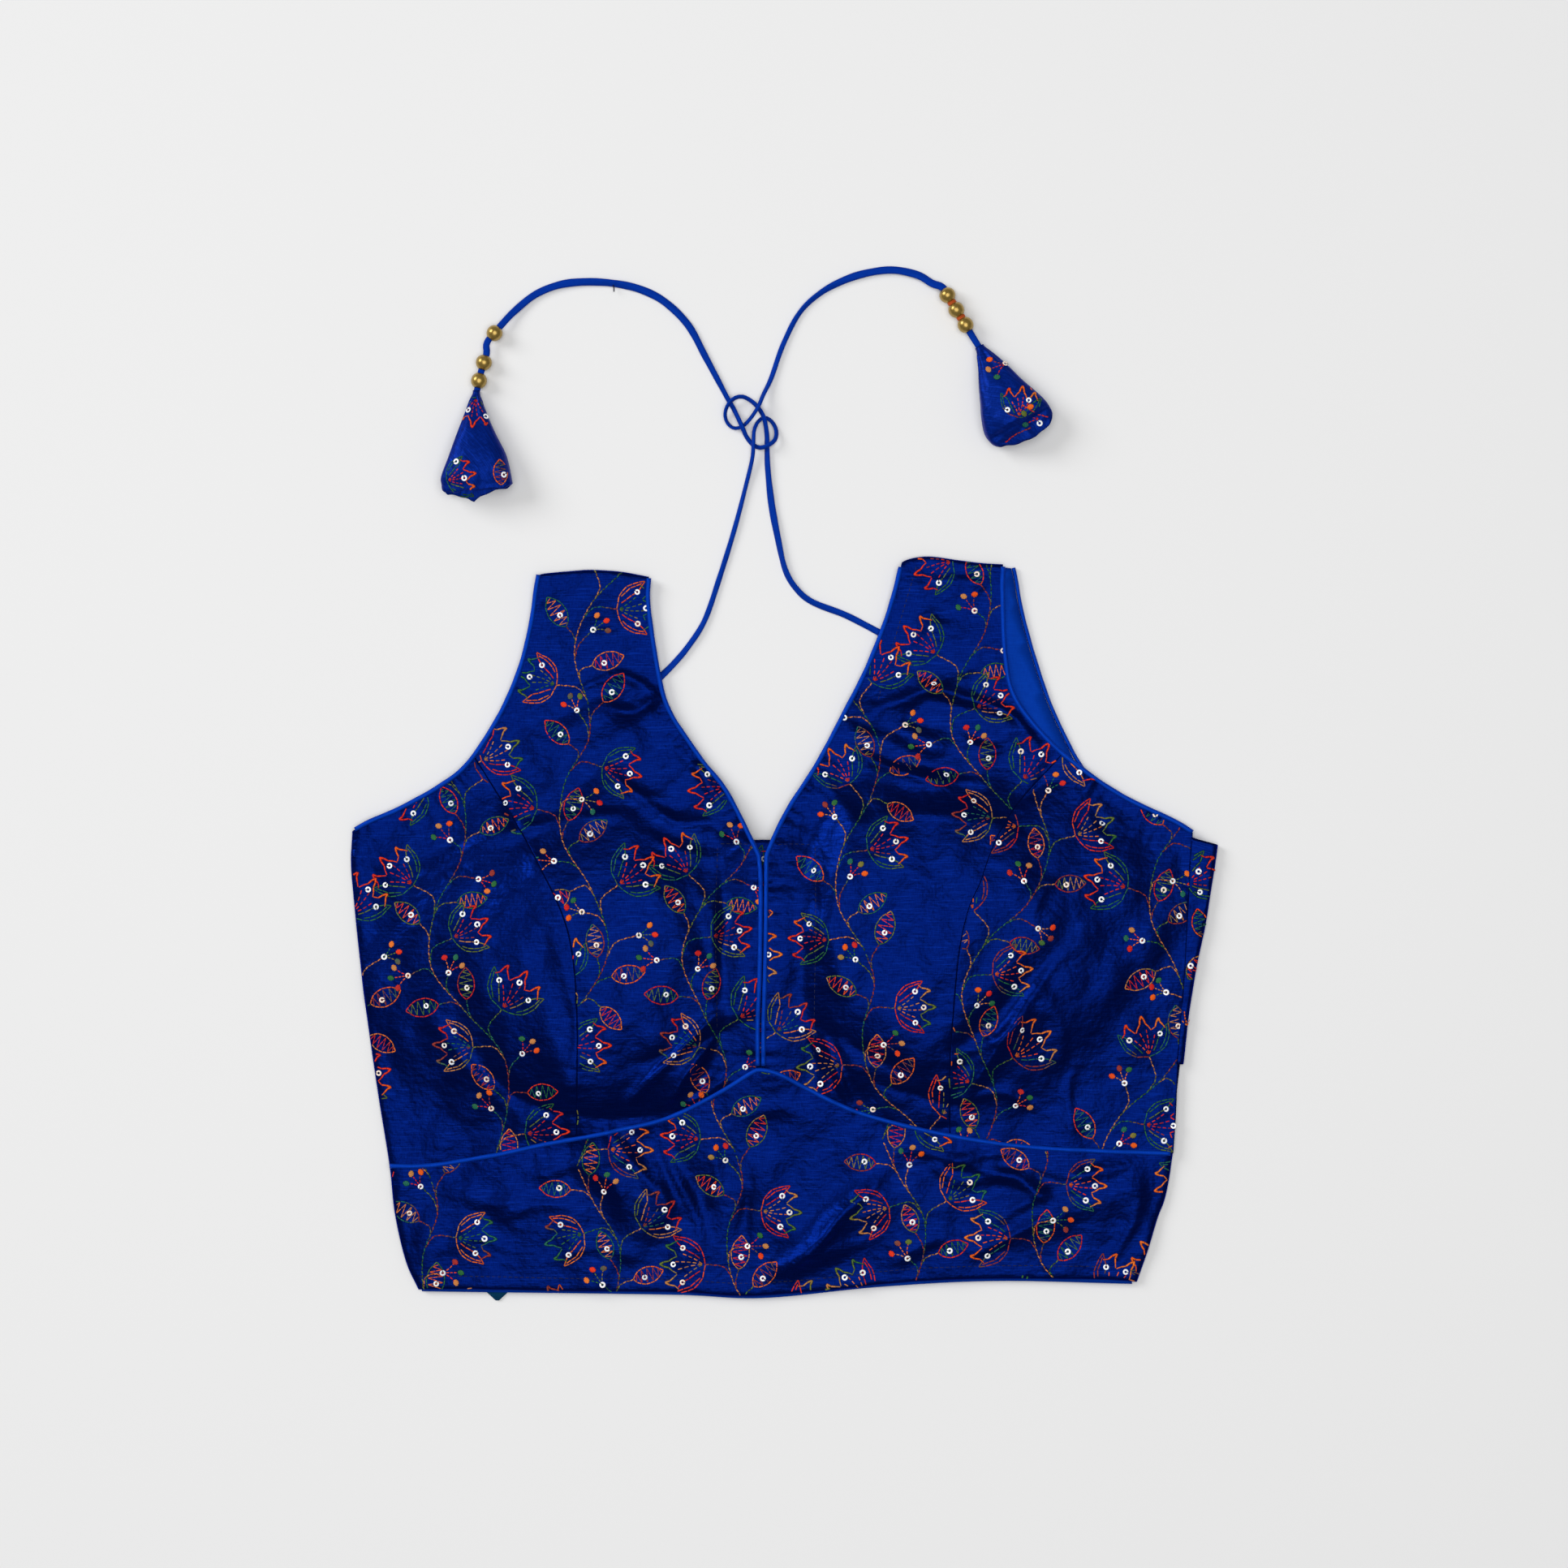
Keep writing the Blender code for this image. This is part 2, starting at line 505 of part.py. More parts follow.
def back_outline(inset_right, hem_drop):
    """The flat back's edge all round, from the left end of the hem."""
    side = [(x - inset_right, y) for x, y in BACK_SIDE_RIGHT]
    runs = [
        [(x, y - hem_drop) for x, y in BACK_HEM], side, BACK_ARMHOLE_RIGHT, BACK_SHOULDER_RIGHT,
        BACK_NECK, BACK_SHOULDER_LEFT, BACK_ARMHOLE_LEFT, BACK_SIDE_LEFT,
    ]
    return [point for run in runs for point in even(smooth_line(run), SEAM_STEP)]


def turned_section(fold, seam, share):
    """Across the turned edge at one height: the lower layer, half a circle, then the strip on top."""
    lower_run, arc = 9.0, math.pi * TURN_RADIUS
    middle = fold - TURN_RADIUS
    upper_run = max(middle - seam - SEAM_GAP, 0.3)
    along = share * (lower_run + arc + upper_run)
    if along <= lower_run:
        return middle - lower_run + along, 0.0
    if along <= lower_run + arc:
        angle = (along - lower_run) / TURN_RADIUS
        return middle + TURN_RADIUS * math.sin(angle), TURN_RADIUS * (1 - math.cos(angle))
    return middle - (along - lower_run - arc), 2 * TURN_RADIUS


def add_turned_edge(name, finish, collection):
    """The part of the back that is turned over the right edge, as a bent sheet."""
    line = smooth_line(TURNED_EDGE, 4.0)
    rows, columns = 16, 14
    mesh = bmesh.new()
    bmesh.ops.create_grid(mesh, x_segments=columns, y_segments=rows, size=0.5)
    for vertex in mesh.verts:
        y, fold, seam = at(line, [(vertex.co.y + 0.5) * travel(line)[-1]])[0]
        x, z = turned_section(fold, seam, vertex.co.x + 0.5)
        vertex.co = Vector((x, y, z + 0.1)) * MM
    data = bpy.data.meshes.new(name)
    mesh.to_mesh(data)
    mesh.free()
    turned = add_object(name, data, finish, collection)
    wall = turned.modifiers.new("Cloth wall", "SOLIDIFY")
    wall.thickness = TURN_WALL * MM
    wall.offset = 1
    return turned


def ring_faces(mesh, rings):
    """Closes a loft: faces between each ring and the next, and a cap at each end."""
    count = len(rings[0])
    for one, other in zip(rings, rings[1:]):
        for i in range(count):
            j = (i + 1) % count
            mesh.faces.new((one[i], one[j], other[j], other[i]))
    mesh.faces.new(rings[0][::-1])
    mesh.faces.new(rings[-1])


def add_tassel(name, shape, finish, collection):
    """A soft cone of folded cloth that lies on the floor, with its mouth tucked in."""
    apex, towards = Vector((*shape["apex"], 0)), Vector((*shape["towards"], 0)).normalized()
    aside = Vector((-towards.y, towards.x, 0))
    sections = list(shape["sections"])
    along, left, right, height = sections[-1]
    inner = (along - MOUTH_DEPTH, left * MOUTH_SHARE, right * MOUTH_SHARE, height * MOUTH_SHARE)
    lip = (along + 0.5, left * 0.9, right * 0.9, height * 0.9)
    mesh = bmesh.new()
    rings = []
    for index, (along, left, right, height) in enumerate([*sections, lip, inner]):
        base = (sections[-1][3] - height) / 2 if index >= len(sections) else 0.0
        ring = []
        for k in range(TASSEL_SIDES):
            angle = 2 * math.pi * k / TASSEL_SIDES
            side = math.cos(angle) * (right if math.cos(angle) < 0 else left)
            place = apex + towards * along + aside * side
            place.z = base + height / 2 * (1 + math.sin(angle))
            ring.append(mesh.verts.new(place * MM))
        rings.append(ring)
    ring_faces(mesh, rings)
    bmesh.ops.recalc_face_normals(mesh, faces=mesh.faces)
    data = bpy.data.meshes.new(name)
    mesh.to_mesh(data)
    mesh.free()
    data.shade_smooth()
    return add_object(name, data, finish, collection)


def add_bead(name, place, finish, collection):
    """A round bead with a bore along the cord, turned from its profile."""
    x, y, run_x, run_y = place
    mouth = math.asin(BEAD_BORE_RADIUS / BEAD_RADIUS)
    mesh = bmesh.new()
    profile = []
    for k in range(BEAD_RINGS + 1):
        angle = mouth + (math.pi - 2 * mouth) * k / BEAD_RINGS
        profile.append(mesh.verts.new(Vector((math.sin(angle), 0, math.cos(angle))) * BEAD_RADIUS * MM))
    for one, other in zip(profile, profile[1:] + profile[:1]):
        mesh.edges.new((one, other))
    data = bpy.data.meshes.new(name)
    mesh.to_mesh(data)
    mesh.free()
    bead = add_object(name, data, finish, collection)
    turn = bead.modifiers.new("Turned", "SCREW")
    turn.steps = turn.render_steps = BEAD_SIDES
    turn.use_merge_vertices = True
    turn.merge_threshold = 0.00001
    bead.location = Vector((x, y, BEAD_RADIUS)) * MM
    bead.rotation_mode = "QUATERNION"
    bead.rotation_quaternion = Vector((run_x, run_y, 0)).to_track_quat("Z", "Y")
    return bead


def add_cord(name, route, finish, collection):
    """A tie cord along its route, with its rings closer together where it bends most."""
    places = smooth_line([row[:3] for row in route])
    places[:, 2] = np.maximum(places[:, 2], CORD_LIES_AT)
    steps = np.interp(np.linspace(0, len(route) - 1, len(places)),
                      np.arange(len(route)), [row[3] for row in route])
    along = travel(places)
    kept = [0]
    for i in range(1, len(places) - 1):
        if along[i] - along[kept[-1]] >= steps[i]:
            kept.append(i)
    kept.append(len(places) - 1)
    return add_tube(name, places[kept], CORD_RADIUS, 8, finish, collection)


def add_front(collection):
    lines = piped_edges()
    for name, sides in front_panels(lines).items():
        add_panel(name, sides, BAND_STEP if name == "front_band" else CLOTH_STEP, "silk", collection)
    for name in ("neck_left", "neck_right", "armhole_left", "armhole_right"):
        line = even(lines[name], SEAM_STEP)
        add_tube("piping_" + name, on_front(line), PIPING_RADIUS, 6, "piping", collection)
    waist = even(lines["waist"], WAIST_STEP)
    add_tube("piping_waist", on_front(waist), PIPING_RADIUS, 6, "piping", collection)
    add_sheet("placket_underlap", UNDERLAP, UNDERLAP_BASE, UNDERLAP_WALL, "silk", collection)


def add_back(collection, helpers):
    back = as_mesh(add_sheet("back_panel", back_outline(0, 0), 0, BACK_WALL, "silk", collection))
    turned = add_turned_edge("turned_edge", "silk", helpers)
    turned.hide_render = True
    turned.display_type = "WIRE"
    join = back.modifiers.new("Turned edge", "BOOLEAN")
    join.operation = "UNION"
    join.object = turned
    add_sheet("back_lining", back_outline(9.0, 3.0), LINING_BASE, LINING_WALL, "lining", collection)
    edge = even(smooth_line(BACK_ARMHOLE_RIGHT[3:]), SEAM_STEP)
    outside = shifted(edge, -(BACK_PIPING_RADIUS + PIPING_CLEARANCE - 0.1))
    level = np.full(len(outside), BACK_PIPING_RADIUS + 0.1)
    add_tube("piping_back_armhole_right", np.column_stack([outside, level]), BACK_PIPING_RADIUS, 6,
             "piping", collection)
    add_sheet("hem_tape", HEM_TAPE, 0.0, TAPE_WALL, "tape", collection)


def add_ties(collection):
    for side, route, beads, tassel in (
        ("left", CORD_LEFT, BEADS_LEFT, TASSEL_LEFT),
        ("right", CORD_RIGHT, BEADS_RIGHT, TASSEL_RIGHT),
    ):
        add_cord("tie_cord_" + side, route, "cord", collection)
        for number, place in enumerate(beads, 1):
            add_bead(f"bead_{side}_{number}", place, "bead", collection)
        add_tassel("tassel_" + side, tassel, "silk", collection)


def main():
    for obj in list(bpy.data.objects):
        bpy.data.objects.remove(obj)
    scene = bpy.context.scene.collection
    blouse = bpy.data.collections.new("Choli blouse")
    helpers = bpy.data.collections.new("Helpers")
    scene.children.link(blouse)
    scene.children.link(helpers)
    add_front(blouse)
    add_back(blouse, helpers)
    add_ties(blouse)


main()
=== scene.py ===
# %% [markdown]
# # A silk choli blouse with tie cords
#
# This lesson dresses the plain solids of a sleeveless choli blouse as real cloth: slubbed blue
# silk with run embroidery, bright piping, tie cords with gold beads and two cloth tassels.
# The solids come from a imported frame, in metres, with the floor at zero height. Tables below
# are in millimetres, as a tailor would note them, and MM turns them into metres.

# %% Load the frame
import math

import bmesh
import bpy
import numpy as np
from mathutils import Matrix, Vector
from mathutils.bvhtree import BVHTree
from mathutils.geometry import delaunay_2d_cdt


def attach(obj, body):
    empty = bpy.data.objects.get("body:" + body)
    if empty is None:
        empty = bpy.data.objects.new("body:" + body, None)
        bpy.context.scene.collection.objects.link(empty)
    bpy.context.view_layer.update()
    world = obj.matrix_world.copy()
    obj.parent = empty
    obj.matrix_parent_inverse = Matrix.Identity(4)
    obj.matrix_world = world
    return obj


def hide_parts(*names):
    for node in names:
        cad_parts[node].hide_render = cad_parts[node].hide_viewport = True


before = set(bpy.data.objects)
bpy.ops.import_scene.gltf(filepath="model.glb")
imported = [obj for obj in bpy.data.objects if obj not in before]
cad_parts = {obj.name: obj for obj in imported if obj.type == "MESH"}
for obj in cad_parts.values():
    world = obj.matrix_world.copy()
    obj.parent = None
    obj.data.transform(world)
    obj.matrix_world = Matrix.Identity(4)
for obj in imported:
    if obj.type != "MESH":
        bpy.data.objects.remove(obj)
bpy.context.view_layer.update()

MM = 0.001
BODY = "root"

# %% [markdown]
# ## Camera, floor and light
#
# The blouse lies face up and is seen from straight above. Silk looks bright where it mirrors the
# lamp and nearly black where it turns away, so one broad lamp hangs above the camera and the
# surroundings stay dim. A long lens keeps the sides of the blouse from spreading.

# %% Camera, floor and lamps
FIELD_WIDTH = 0.8115
VIEW_MIDDLE = (0.0, 0.0748)
LENS, SENSOR = 85.0, 36.0
LAMPS = [  # name, place, aim, size, power
    ("overhead softbox", (0.12, 0.04, 2.60), (0.0, 0.05, 0.0), 2.4, 39.0),
    ("low window on the left", (-4.20, 2.40, 2.90), (0.0, 0.05, 0.0), 2.9, 155.0),
]
ROOM_LIGHT = 0.265
FLOOR_SIZE, FLOOR_COLOUR = 6.0, (0.85, 0.85, 0.85, 1)


def add_camera():
    data = bpy.data.cameras.new("camera")
    data.lens, data.sensor_width = LENS, SENSOR
    camera = bpy.data.objects.new("camera", data)
    camera.location = (*VIEW_MIDDLE, FIELD_WIDTH * LENS / SENSOR)
    bpy.context.scene.collection.objects.link(camera)
    bpy.context.scene.camera = camera


def add_lamp(name, place, aim, size, power):
    data = bpy.data.lights.new(name, "AREA")
    data.shape, data.size, data.energy = "DISK", size, power
    lamp = bpy.data.objects.new(name, data)
    lamp.location = place
    lamp.rotation_euler = (Vector(aim) - Vector(place)).to_track_quat("-Z", "Y").to_euler()
    bpy.context.scene.collection.objects.link(lamp)


def finished(mesh, name):
    """The bmesh's shape as mesh data; the bmesh itself is freed."""
    data = bpy.data.meshes.new(name)
    mesh.to_mesh(data)
    mesh.free()
    return data


def new_finish(name, settings):
    """A material, its node tree and its shader, with the settings on the shader's own sockets."""
    finish = bpy.data.materials.new(name)
    finish.use_nodes = True
    shader = finish.node_tree.nodes["Principled BSDF"]
    for socket, value in settings.items():
        shader.inputs[socket].default_value = value
    return finish, finish.node_tree, shader


def add_floor():
    mesh = bmesh.new()
    bmesh.ops.create_grid(mesh, x_segments=1, y_segments=1, size=FLOOR_SIZE)
    data = finished(mesh, "floor")
    floor = bpy.data.objects.new("floor", data)
    bpy.context.scene.collection.objects.link(floor)
    matt = {"Base Color": FLOOR_COLOUR, "Roughness": 0.9, "Specular IOR Level": 0.2}
    data.materials.append(new_finish("pale paper", matt)[0])


add_camera()
add_floor()
for lamp_row in LAMPS:
    add_lamp(*lamp_row)
world = bpy.data.worlds.new("dim studio")
world.use_nodes = True
background = world.node_tree.nodes["Background"]
background.inputs["Color"].default_value = (1, 1, 1, 1)
background.inputs["Strength"].default_value = ROOM_LIGHT
bpy.context.scene.world = world
bpy.context.scene.view_settings.view_transform = "Standard"
print("camera above", VIEW_MIDDLE, "sees", FIELD_WIDTH, "m across")

# %% [markdown]
# ## The pattern pieces' edges
#
# A blouse is drafted as edges first: hem, sides, armholes, neck, and the seams that shape the
# cups. Each is a short list of points in millimetres from the middle of the blouse, and one
# smooth curve is drawn through it. The same curves also place the piping and the topstitching.

# %% Edge tables
WAIST = [(-203.5, -122.5), (-181.5, -122), (-151, -117), (-125, -111.5), (-99, -106.5), (-85, -103.5),
         (-60, -97.5), (-34, -84.5), (-17, -74), (-11.5, -72.3), (-1.5, -75), (12.5, -82.5), (35.5, -93.5),
         (59, -100.5), (85.5, -106.5), (121, -112), (160, -114.5), (199.5, -116)]
SIDE_LEFT = [(-189, -186.5), (-195.5, -172), (-201, -148.5), (-204, -122), (-211, -78), (-217.5, -31),
             (-222.5, 16), (-223.9, 34), (-223.3, 48)]
ARMHOLE_LEFT = [(-222, 52.5), (-213.5, 57), (-199.5, 63), (-178, 75), (-164, 86.5), (-148.5, 110),
                (-138, 133.5), (-132, 157), (-129.5, 174.5), (-128, 183)]
SHOULDER_LEFT = [(-129, 181.5), (-124, 183.5), (-108.5, 185), (-99, 185.5), (-84, 184.5), (-70.5, 182)]
NECK_LEFT = [(-15, 45), (-24, 63), (-31, 75), (-40.5, 86.5), (-49, 98.5), (-56.5, 110), (-61.5, 122),
             (-66, 145.5), (-69, 169), (-68.5, 181)]
NECK_RIGHT = [(-7.7, 45), (1.5, 63), (16.5, 86.5), (29, 110), (41, 133.5), (50.5, 157), (56, 174.5),
              (59, 187)]
SHOULDER_RIGHT = [(58, 187.5), (64.5, 191), (75, 192.4), (90, 190.5), (102, 189), (112.5, 188.3)]
ARMHOLE_RIGHT = [(211.5, 51), (201.5, 57), (176.5, 69), (156, 82.5), (137, 98.5), (120.5, 119.5),
                 (115.5, 140.5), (114, 173.5), (114.3, 187)]
SIDE_SEAM_RIGHT = [(201, -116), (202.4, -96), (203, -82), (203.5, -70), (204.9, -55), (206.5, -30),
                   (208.6, 8.5), (210.5, 40), (211.3, 52)]
BAND_SIDE_RIGHT = [(182.5, -182.5), (188, -166.5), (193, -150), (196.5, -141), (199, -130), (201, -116)]
HEM = [(-189, -186.5), (-153.5, -186.5), (-114, -187.5), (-57, -188), (-27, -190), (-11, -189.8),
       (25, -187), (50, -184), (76, -182), (110, -181), (160, -181.3), (182.5, -182.5)]
PLACKET_LEFT = [(-13.5, -70), (-13.5, -47), (-12.7, -27.5), (-12.1, 1.5), (-12.1, 25.5), (-13, 38)]
PLACKET_RIGHT = [(-10.6, -70), (-10.5, -47), (-9.9, -27.5), (-9.3, 1.5), (-9.2, 25.5), (-9, 38)]
PRINCESS_LEFT = [(-107, -106.5), (-106, -78), (-106, -44.5), (-108, -15), (-113, 6.5), (-123.5, 29),
                 (-135, 49.5), (-148.5, 70.5), (-160, 89)]
PRINCESS_RIGHT = [(85.5, -106.5), (85.5, -65.5), (87.5, -32), (90.5, -6.5), (95, 12), (101, 25),
                  (105.5, 38), (111, 50), (120.5, 64.5), (139, 85)]
BACK_EDGE = {
    "hem": [(-187, -184.5), (-153.5, -185), (-57, -186.3), (-11, -188), (50, -182.2), (110, -179.2),
            (180, -180.7)],
    "side_right": [(186, -166.5), (191.2, -150), (197, -130), (198.8, -116), (202.5, -90), (206, -60),
                   (210.5, -25), (217, 7), (221.6, 39), (220.8, 42.5)],
    "armhole_right": [(218, 44.5), (205, 50), (180, 61), (156, 78), (147.5, 92), (136.5, 115.5),
                      (128.5, 139), (122, 162.5), (118.8, 180), (117.5, 186.3)],
    "shoulder_right": [(112, 187), (90, 188.8), (75, 190.6), (64.5, 189), (61.5, 186)],
    "neck": [(58.3, 174), (53, 157), (43.6, 133.5), (38, 108), (29, 72), (15, 35), (3, 14), (-11, 7),
             (-25, 14), (-37, 36), (-51, 74), (-60, 105), (-67.3, 130), (-70.5, 155), (-71.5, 172)],
    "shoulder_left": [(-71.5, 180.3), (-84, 182.5), (-99, 183.5), (-108.5, 183), (-123, 181)],
    "armhole_left": [(-126.5, 174), (-129.5, 157), (-135.5, 133.5), (-146, 110), (-162, 85),
                     (-177, 72.5), (-199, 60.5), (-221, 49)],
    "side_left": [(-222.2, 34), (-220.8, 16), (-215.8, -31), (-209.3, -78), (-202.3, -122),
                  (-199.2, -148.5), (-193.7, -172)],
}

# %% Curves through the tables
LINE_STEP, COARSE_STEP = 0.5, 2.0


def smooth_line(points, step=LINE_STEP):
    """A smooth curve through the points, as an array of points that lie a step apart."""
    given = np.array(points, float)
    ends = np.vstack([2 * given[0] - given[1], given, 2 * given[-1] - given[-2]])
    made = []
    for i in range(len(given) - 1):
        a, b, c, d = ends[i:i + 4]
        count = max(2, int(np.linalg.norm((c - b)[:2]) / step))
        t = (np.arange(count) / count)[:, None]
        made.append(0.5 * (2 * b + (c - a) * t + (2 * a - 5 * b + 4 * c - d) * t**2
                           + (3 * b - a - 3 * c + d) * t**3))
    return np.vstack(made + [given[-1:]])


def travel(line):
    """Distance along the line at each of its points."""
    return np.concatenate([[0.0], np.cumsum(np.linalg.norm(np.diff(line, axis=0), axis=1))])


def at(line, distances):
    """Points of the line at these distances along it."""
    along = travel(line)
    return np.stack([np.interp(distances, along, line[:, i]) for i in range(line.shape[1])], axis=1)


def even(line, step):
    length = travel(line)[-1]
    return at(line, np.linspace(0, length, max(2, round(length / step) + 1)))


def shifted(line, distance):
    """The line moved sideways, to the left of its direction where the distance is positive."""
    run = np.gradient(line, axis=0)
    run /= np.linalg.norm(run, axis=1)[:, None]
    return line + distance * np.stack([-run[:, 1], run[:, 0]], axis=1)


def extended(line, reach):
    """The line carried straight on at both ends."""
    first, last = line[0] - line[4], line[-1] - line[-5]
    start = line[0] + reach * first / np.linalg.norm(first)
    end = line[-1] + reach * last / np.linalg.norm(last)
    return even(np.vstack([start, line, end]), LINE_STEP)


def crossing(one, other):
    """Where two lines meet: the distance along each, and the point."""
    apart = np.linalg.norm(one[:, None] - other[None], axis=2)
    i, j = np.unravel_index(apart.argmin(), apart.shape)
    return travel(one)[i], travel(other)[j], (one[i] + other[j]) / 2


def joined(low, high):
    """One line that runs up the first and, from where they meet, on up the second."""
    a, b, corner = crossing(low, high)
    return even(np.vstack([at(low, np.arange(0, a - 1, LINE_STEP)), corner,
                           at(high, np.arange(b + 1, travel(high)[-1], LINE_STEP))]), LINE_STEP)


def distance_to(line, x, y):
    """From each place, the distance to the line and how far along the line its nearest point is."""
    coarse = even(np.asarray(line, float), COARSE_STEP)
    a, b = coarse[:-1], coarse[1:]
    run = b - a
    long2 = (run**2).sum(1)
    starts = travel(coarse)[:-1]
    best, where = np.full(x.shape, 1e9), np.zeros(x.shape)
    side = np.zeros(x.shape)
    for k in range(len(a)):
        t = np.clip(((x - a[k, 0]) * run[k, 0] + (y - a[k, 1]) * run[k, 1]) / long2[k], 0, 1)
        dx, dy = x - a[k, 0] - t * run[k, 0], y - a[k, 1] - t * run[k, 1]
        apart = np.hypot(dx, dy)
        nearer = apart < best
        best = np.where(nearer, apart, best)
        where = np.where(nearer, starts[k] + t * math.sqrt(long2[k]), where)
        side = np.where(nearer, np.sign(run[k, 0] * dy - run[k, 1] * dx), side)
    return best, where, side


PIPING_RADIUS = 1.25
NECK_FROM = 6  # the neck's first points are left out, so that the placket's edge runs on into it


def neck_edge(placket, neck, aside):
    """One line up the placket and on round the neck."""
    neck_line = shifted(smooth_line(neck), aside)[NECK_FROM:]
    return even(np.vstack([smooth_line(placket), neck_line]), LINE_STEP)


edges = {
    "neck_left": neck_edge(PLACKET_LEFT, NECK_LEFT, PIPING_RADIUS),
    "neck_right": neck_edge(PLACKET_RIGHT, NECK_RIGHT, -PIPING_RADIUS),
    "armhole_left": shifted(smooth_line(ARMHOLE_LEFT), -PIPING_RADIUS),
    "armhole_right": shifted(smooth_line(ARMHOLE_RIGHT), PIPING_RADIUS),
    "waist": smooth_line(WAIST),
    "princess_left": smooth_line(PRINCESS_LEFT),
    "princess_right": smooth_line(PRINCESS_RIGHT),
    "side_left": smooth_line(SIDE_LEFT),
    "side_right": smooth_line(SIDE_SEAM_RIGHT),
    "band_right": smooth_line(BAND_SIDE_RIGHT),
    "hem": smooth_line(HEM),
    "shoulder_left": smooth_line(SHOULDER_LEFT),
    "shoulder_right": smooth_line(SHOULDER_RIGHT),
}
for name, line in edges.items():
    print(f"{name}: {travel(line)[-1]:.0f} mm")

# %% [markdown]
# ## How the cloth lies
#
# The front is one surface above the table: two padded cups, a low crown, a lift over the placket,
# and then the folds and creases, each placed with its own length, width and height. A crease is
# steeper on one side, so it has two half widths. Small puckers stand beside the piping, because
# the bias strip pulls the edge of the silk a little shorter as it is sewn.

# %% The large shape
FRONT_FACE = 4.3
CROWN_RISE, CROWN_MIDDLE, CROWN_REACH = 4.0, (0.0, -45.0), (205.0, 135.0)
PLACKET_X, PLACKET_LIFT, PLACKET_FLAT, PLACKET_FADE = -11.2, 1.3, 11.0, 15.0
PLACKET_TOP_Y, PLACKET_TOP_FADE, PLACKET_LOW_Y, PLACKET_LOW_FADE = 65.0, 20.0, -105.0, 25.0
CUPS = [  # middle x, y; then how far the flat top and the foot reach left, right, up, down; rise
    (-104.0, -12.0, (14.0, 122.0), (42.0, 88.0), (30.0, 90.0), (58.0, 102.0), 14.0),
    (64.0, 1.5, (40.0, 66.0), (26.0, 158.0), (40.0, 86.0), (48.0, 106.0), 15.0),
]
CUP_DOME = 0.40
CUP_WOBBLES = [(3, 0.06, 1.0), (5, 0.05, 4.0), (8, 0.04, 2.4), (13, 0.025, 0.3)]  # lobes, share, lag
BRIDGE = (-17.0, -12.0, 42.0, 52.0, 6.5)  # middle x, y, how wide and how tall it is, rise
FOLD_TAPER = 0.35
FOLDS = [  # x0, y0, x1, y1, half width, rise
    (-128.5, 111.0, -83.5, 130.5, 9.0, -2.2), (-128.0, 98.0, -76.0, 114.0, 10.0, 2.4),
    (-177.5, 35.5, -111.5, 55.0, 10.0, -2.6), (-30.5, 40.5, -30.5, -20.5, 8.0, -2.0),
    (-60.5, -84.0, -36.0, -46.0, 7.0, 3.6), (-69.5, -110.5, -41.5, -146.5, 9.0, -2.4),
    (-92.0, -116.0, -70.0, -150.0, 10.0, 2.8), (31.0, 99.5, 98.5, 72.0, 8.0, -2.6),
    (36.0, 110.0, 100.0, 86.0, 9.0, 2.4), (78.5, 111.0, 126.5, 105.5, 10.0, -2.6),
    (18.5, 46.5, 18.5, -15.0, 8.0, -2.2), (95.5, -62.5, 137.5, -18.0, 10.0, -3.4),
    (106.0, -70.0, 148.0, -28.0, 10.0, 1.4), (21.5, -43.5, 39.5, -77.0, 8.0, 3.0),
    (78.5, -124.0, 126.5, -129.5, 10.0, -2.6), (14.5, -163.5, 58.5, -137.0, 9.0, 3.2),
    (132.0, -152.0, 176.0, -134.0, 9.0, 2.8),
]


def smooth_step(t):
    t = np.clip(t, 0, 1)
    return t * t * (3 - 2 * t)


def cup_rise(x, y):
    """The two cups and the bridge of cloth between them, blended where they meet."""
    bridge_x, bridge_y, wide, tall, height = BRIDGE
    cubes = (height * np.exp(-((x - bridge_x) / wide) ** 2 - ((y - bridge_y) / tall) ** 2)) ** 3
    for cx, cy, left, right, up, down, height in CUPS:
        across, along = x - cx + 1e-4, y - cy + 1e-4
        flat, foot = [np.hypot(across / np.where(across < 0, left[k], right[k]),
                               along / np.where(along < 0, down[k], up[k])) for k in (0, 1)]
        turn = np.arctan2(along, across)
        flat = flat * (1 + sum(share * np.sin(lobes * turn + lag + cx)
                               for lobes, share, lag in CUP_WOBBLES))
        fall = smooth_step((flat - 1) / np.maximum(flat / foot - 1, 0.1))
        cubes += (height * np.maximum(1 - (1 - CUP_DOME) * fall - CUP_DOME * foot**2, 0)) ** 3
    return np.cbrt(cubes)


def fold_rise(x, y):
    """The broad folds, each a soft ridge or hollow that ends in a taper."""
    rise = np.zeros_like(x)
    for x0, y0, x1, y1, half_width, height in FOLDS:
        length = math.hypot(x1 - x0, y1 - y0)
        along = ((x - x0) * (x1 - x0) + (y - y0) * (y1 - y0)) / length**2
        beside = ((x - x0) * (y1 - y0) - (y - y0) * (x1 - x0)) / length
        past = np.maximum(0, np.abs(along - 0.5) - 0.5) * length
        taper = 1 - FOLD_TAPER * (2 * np.clip(along, 0, 1) - 1) ** 2
        rise += height * taper * np.exp(-(beside**2 + past**2) / half_width**2)
    return rise


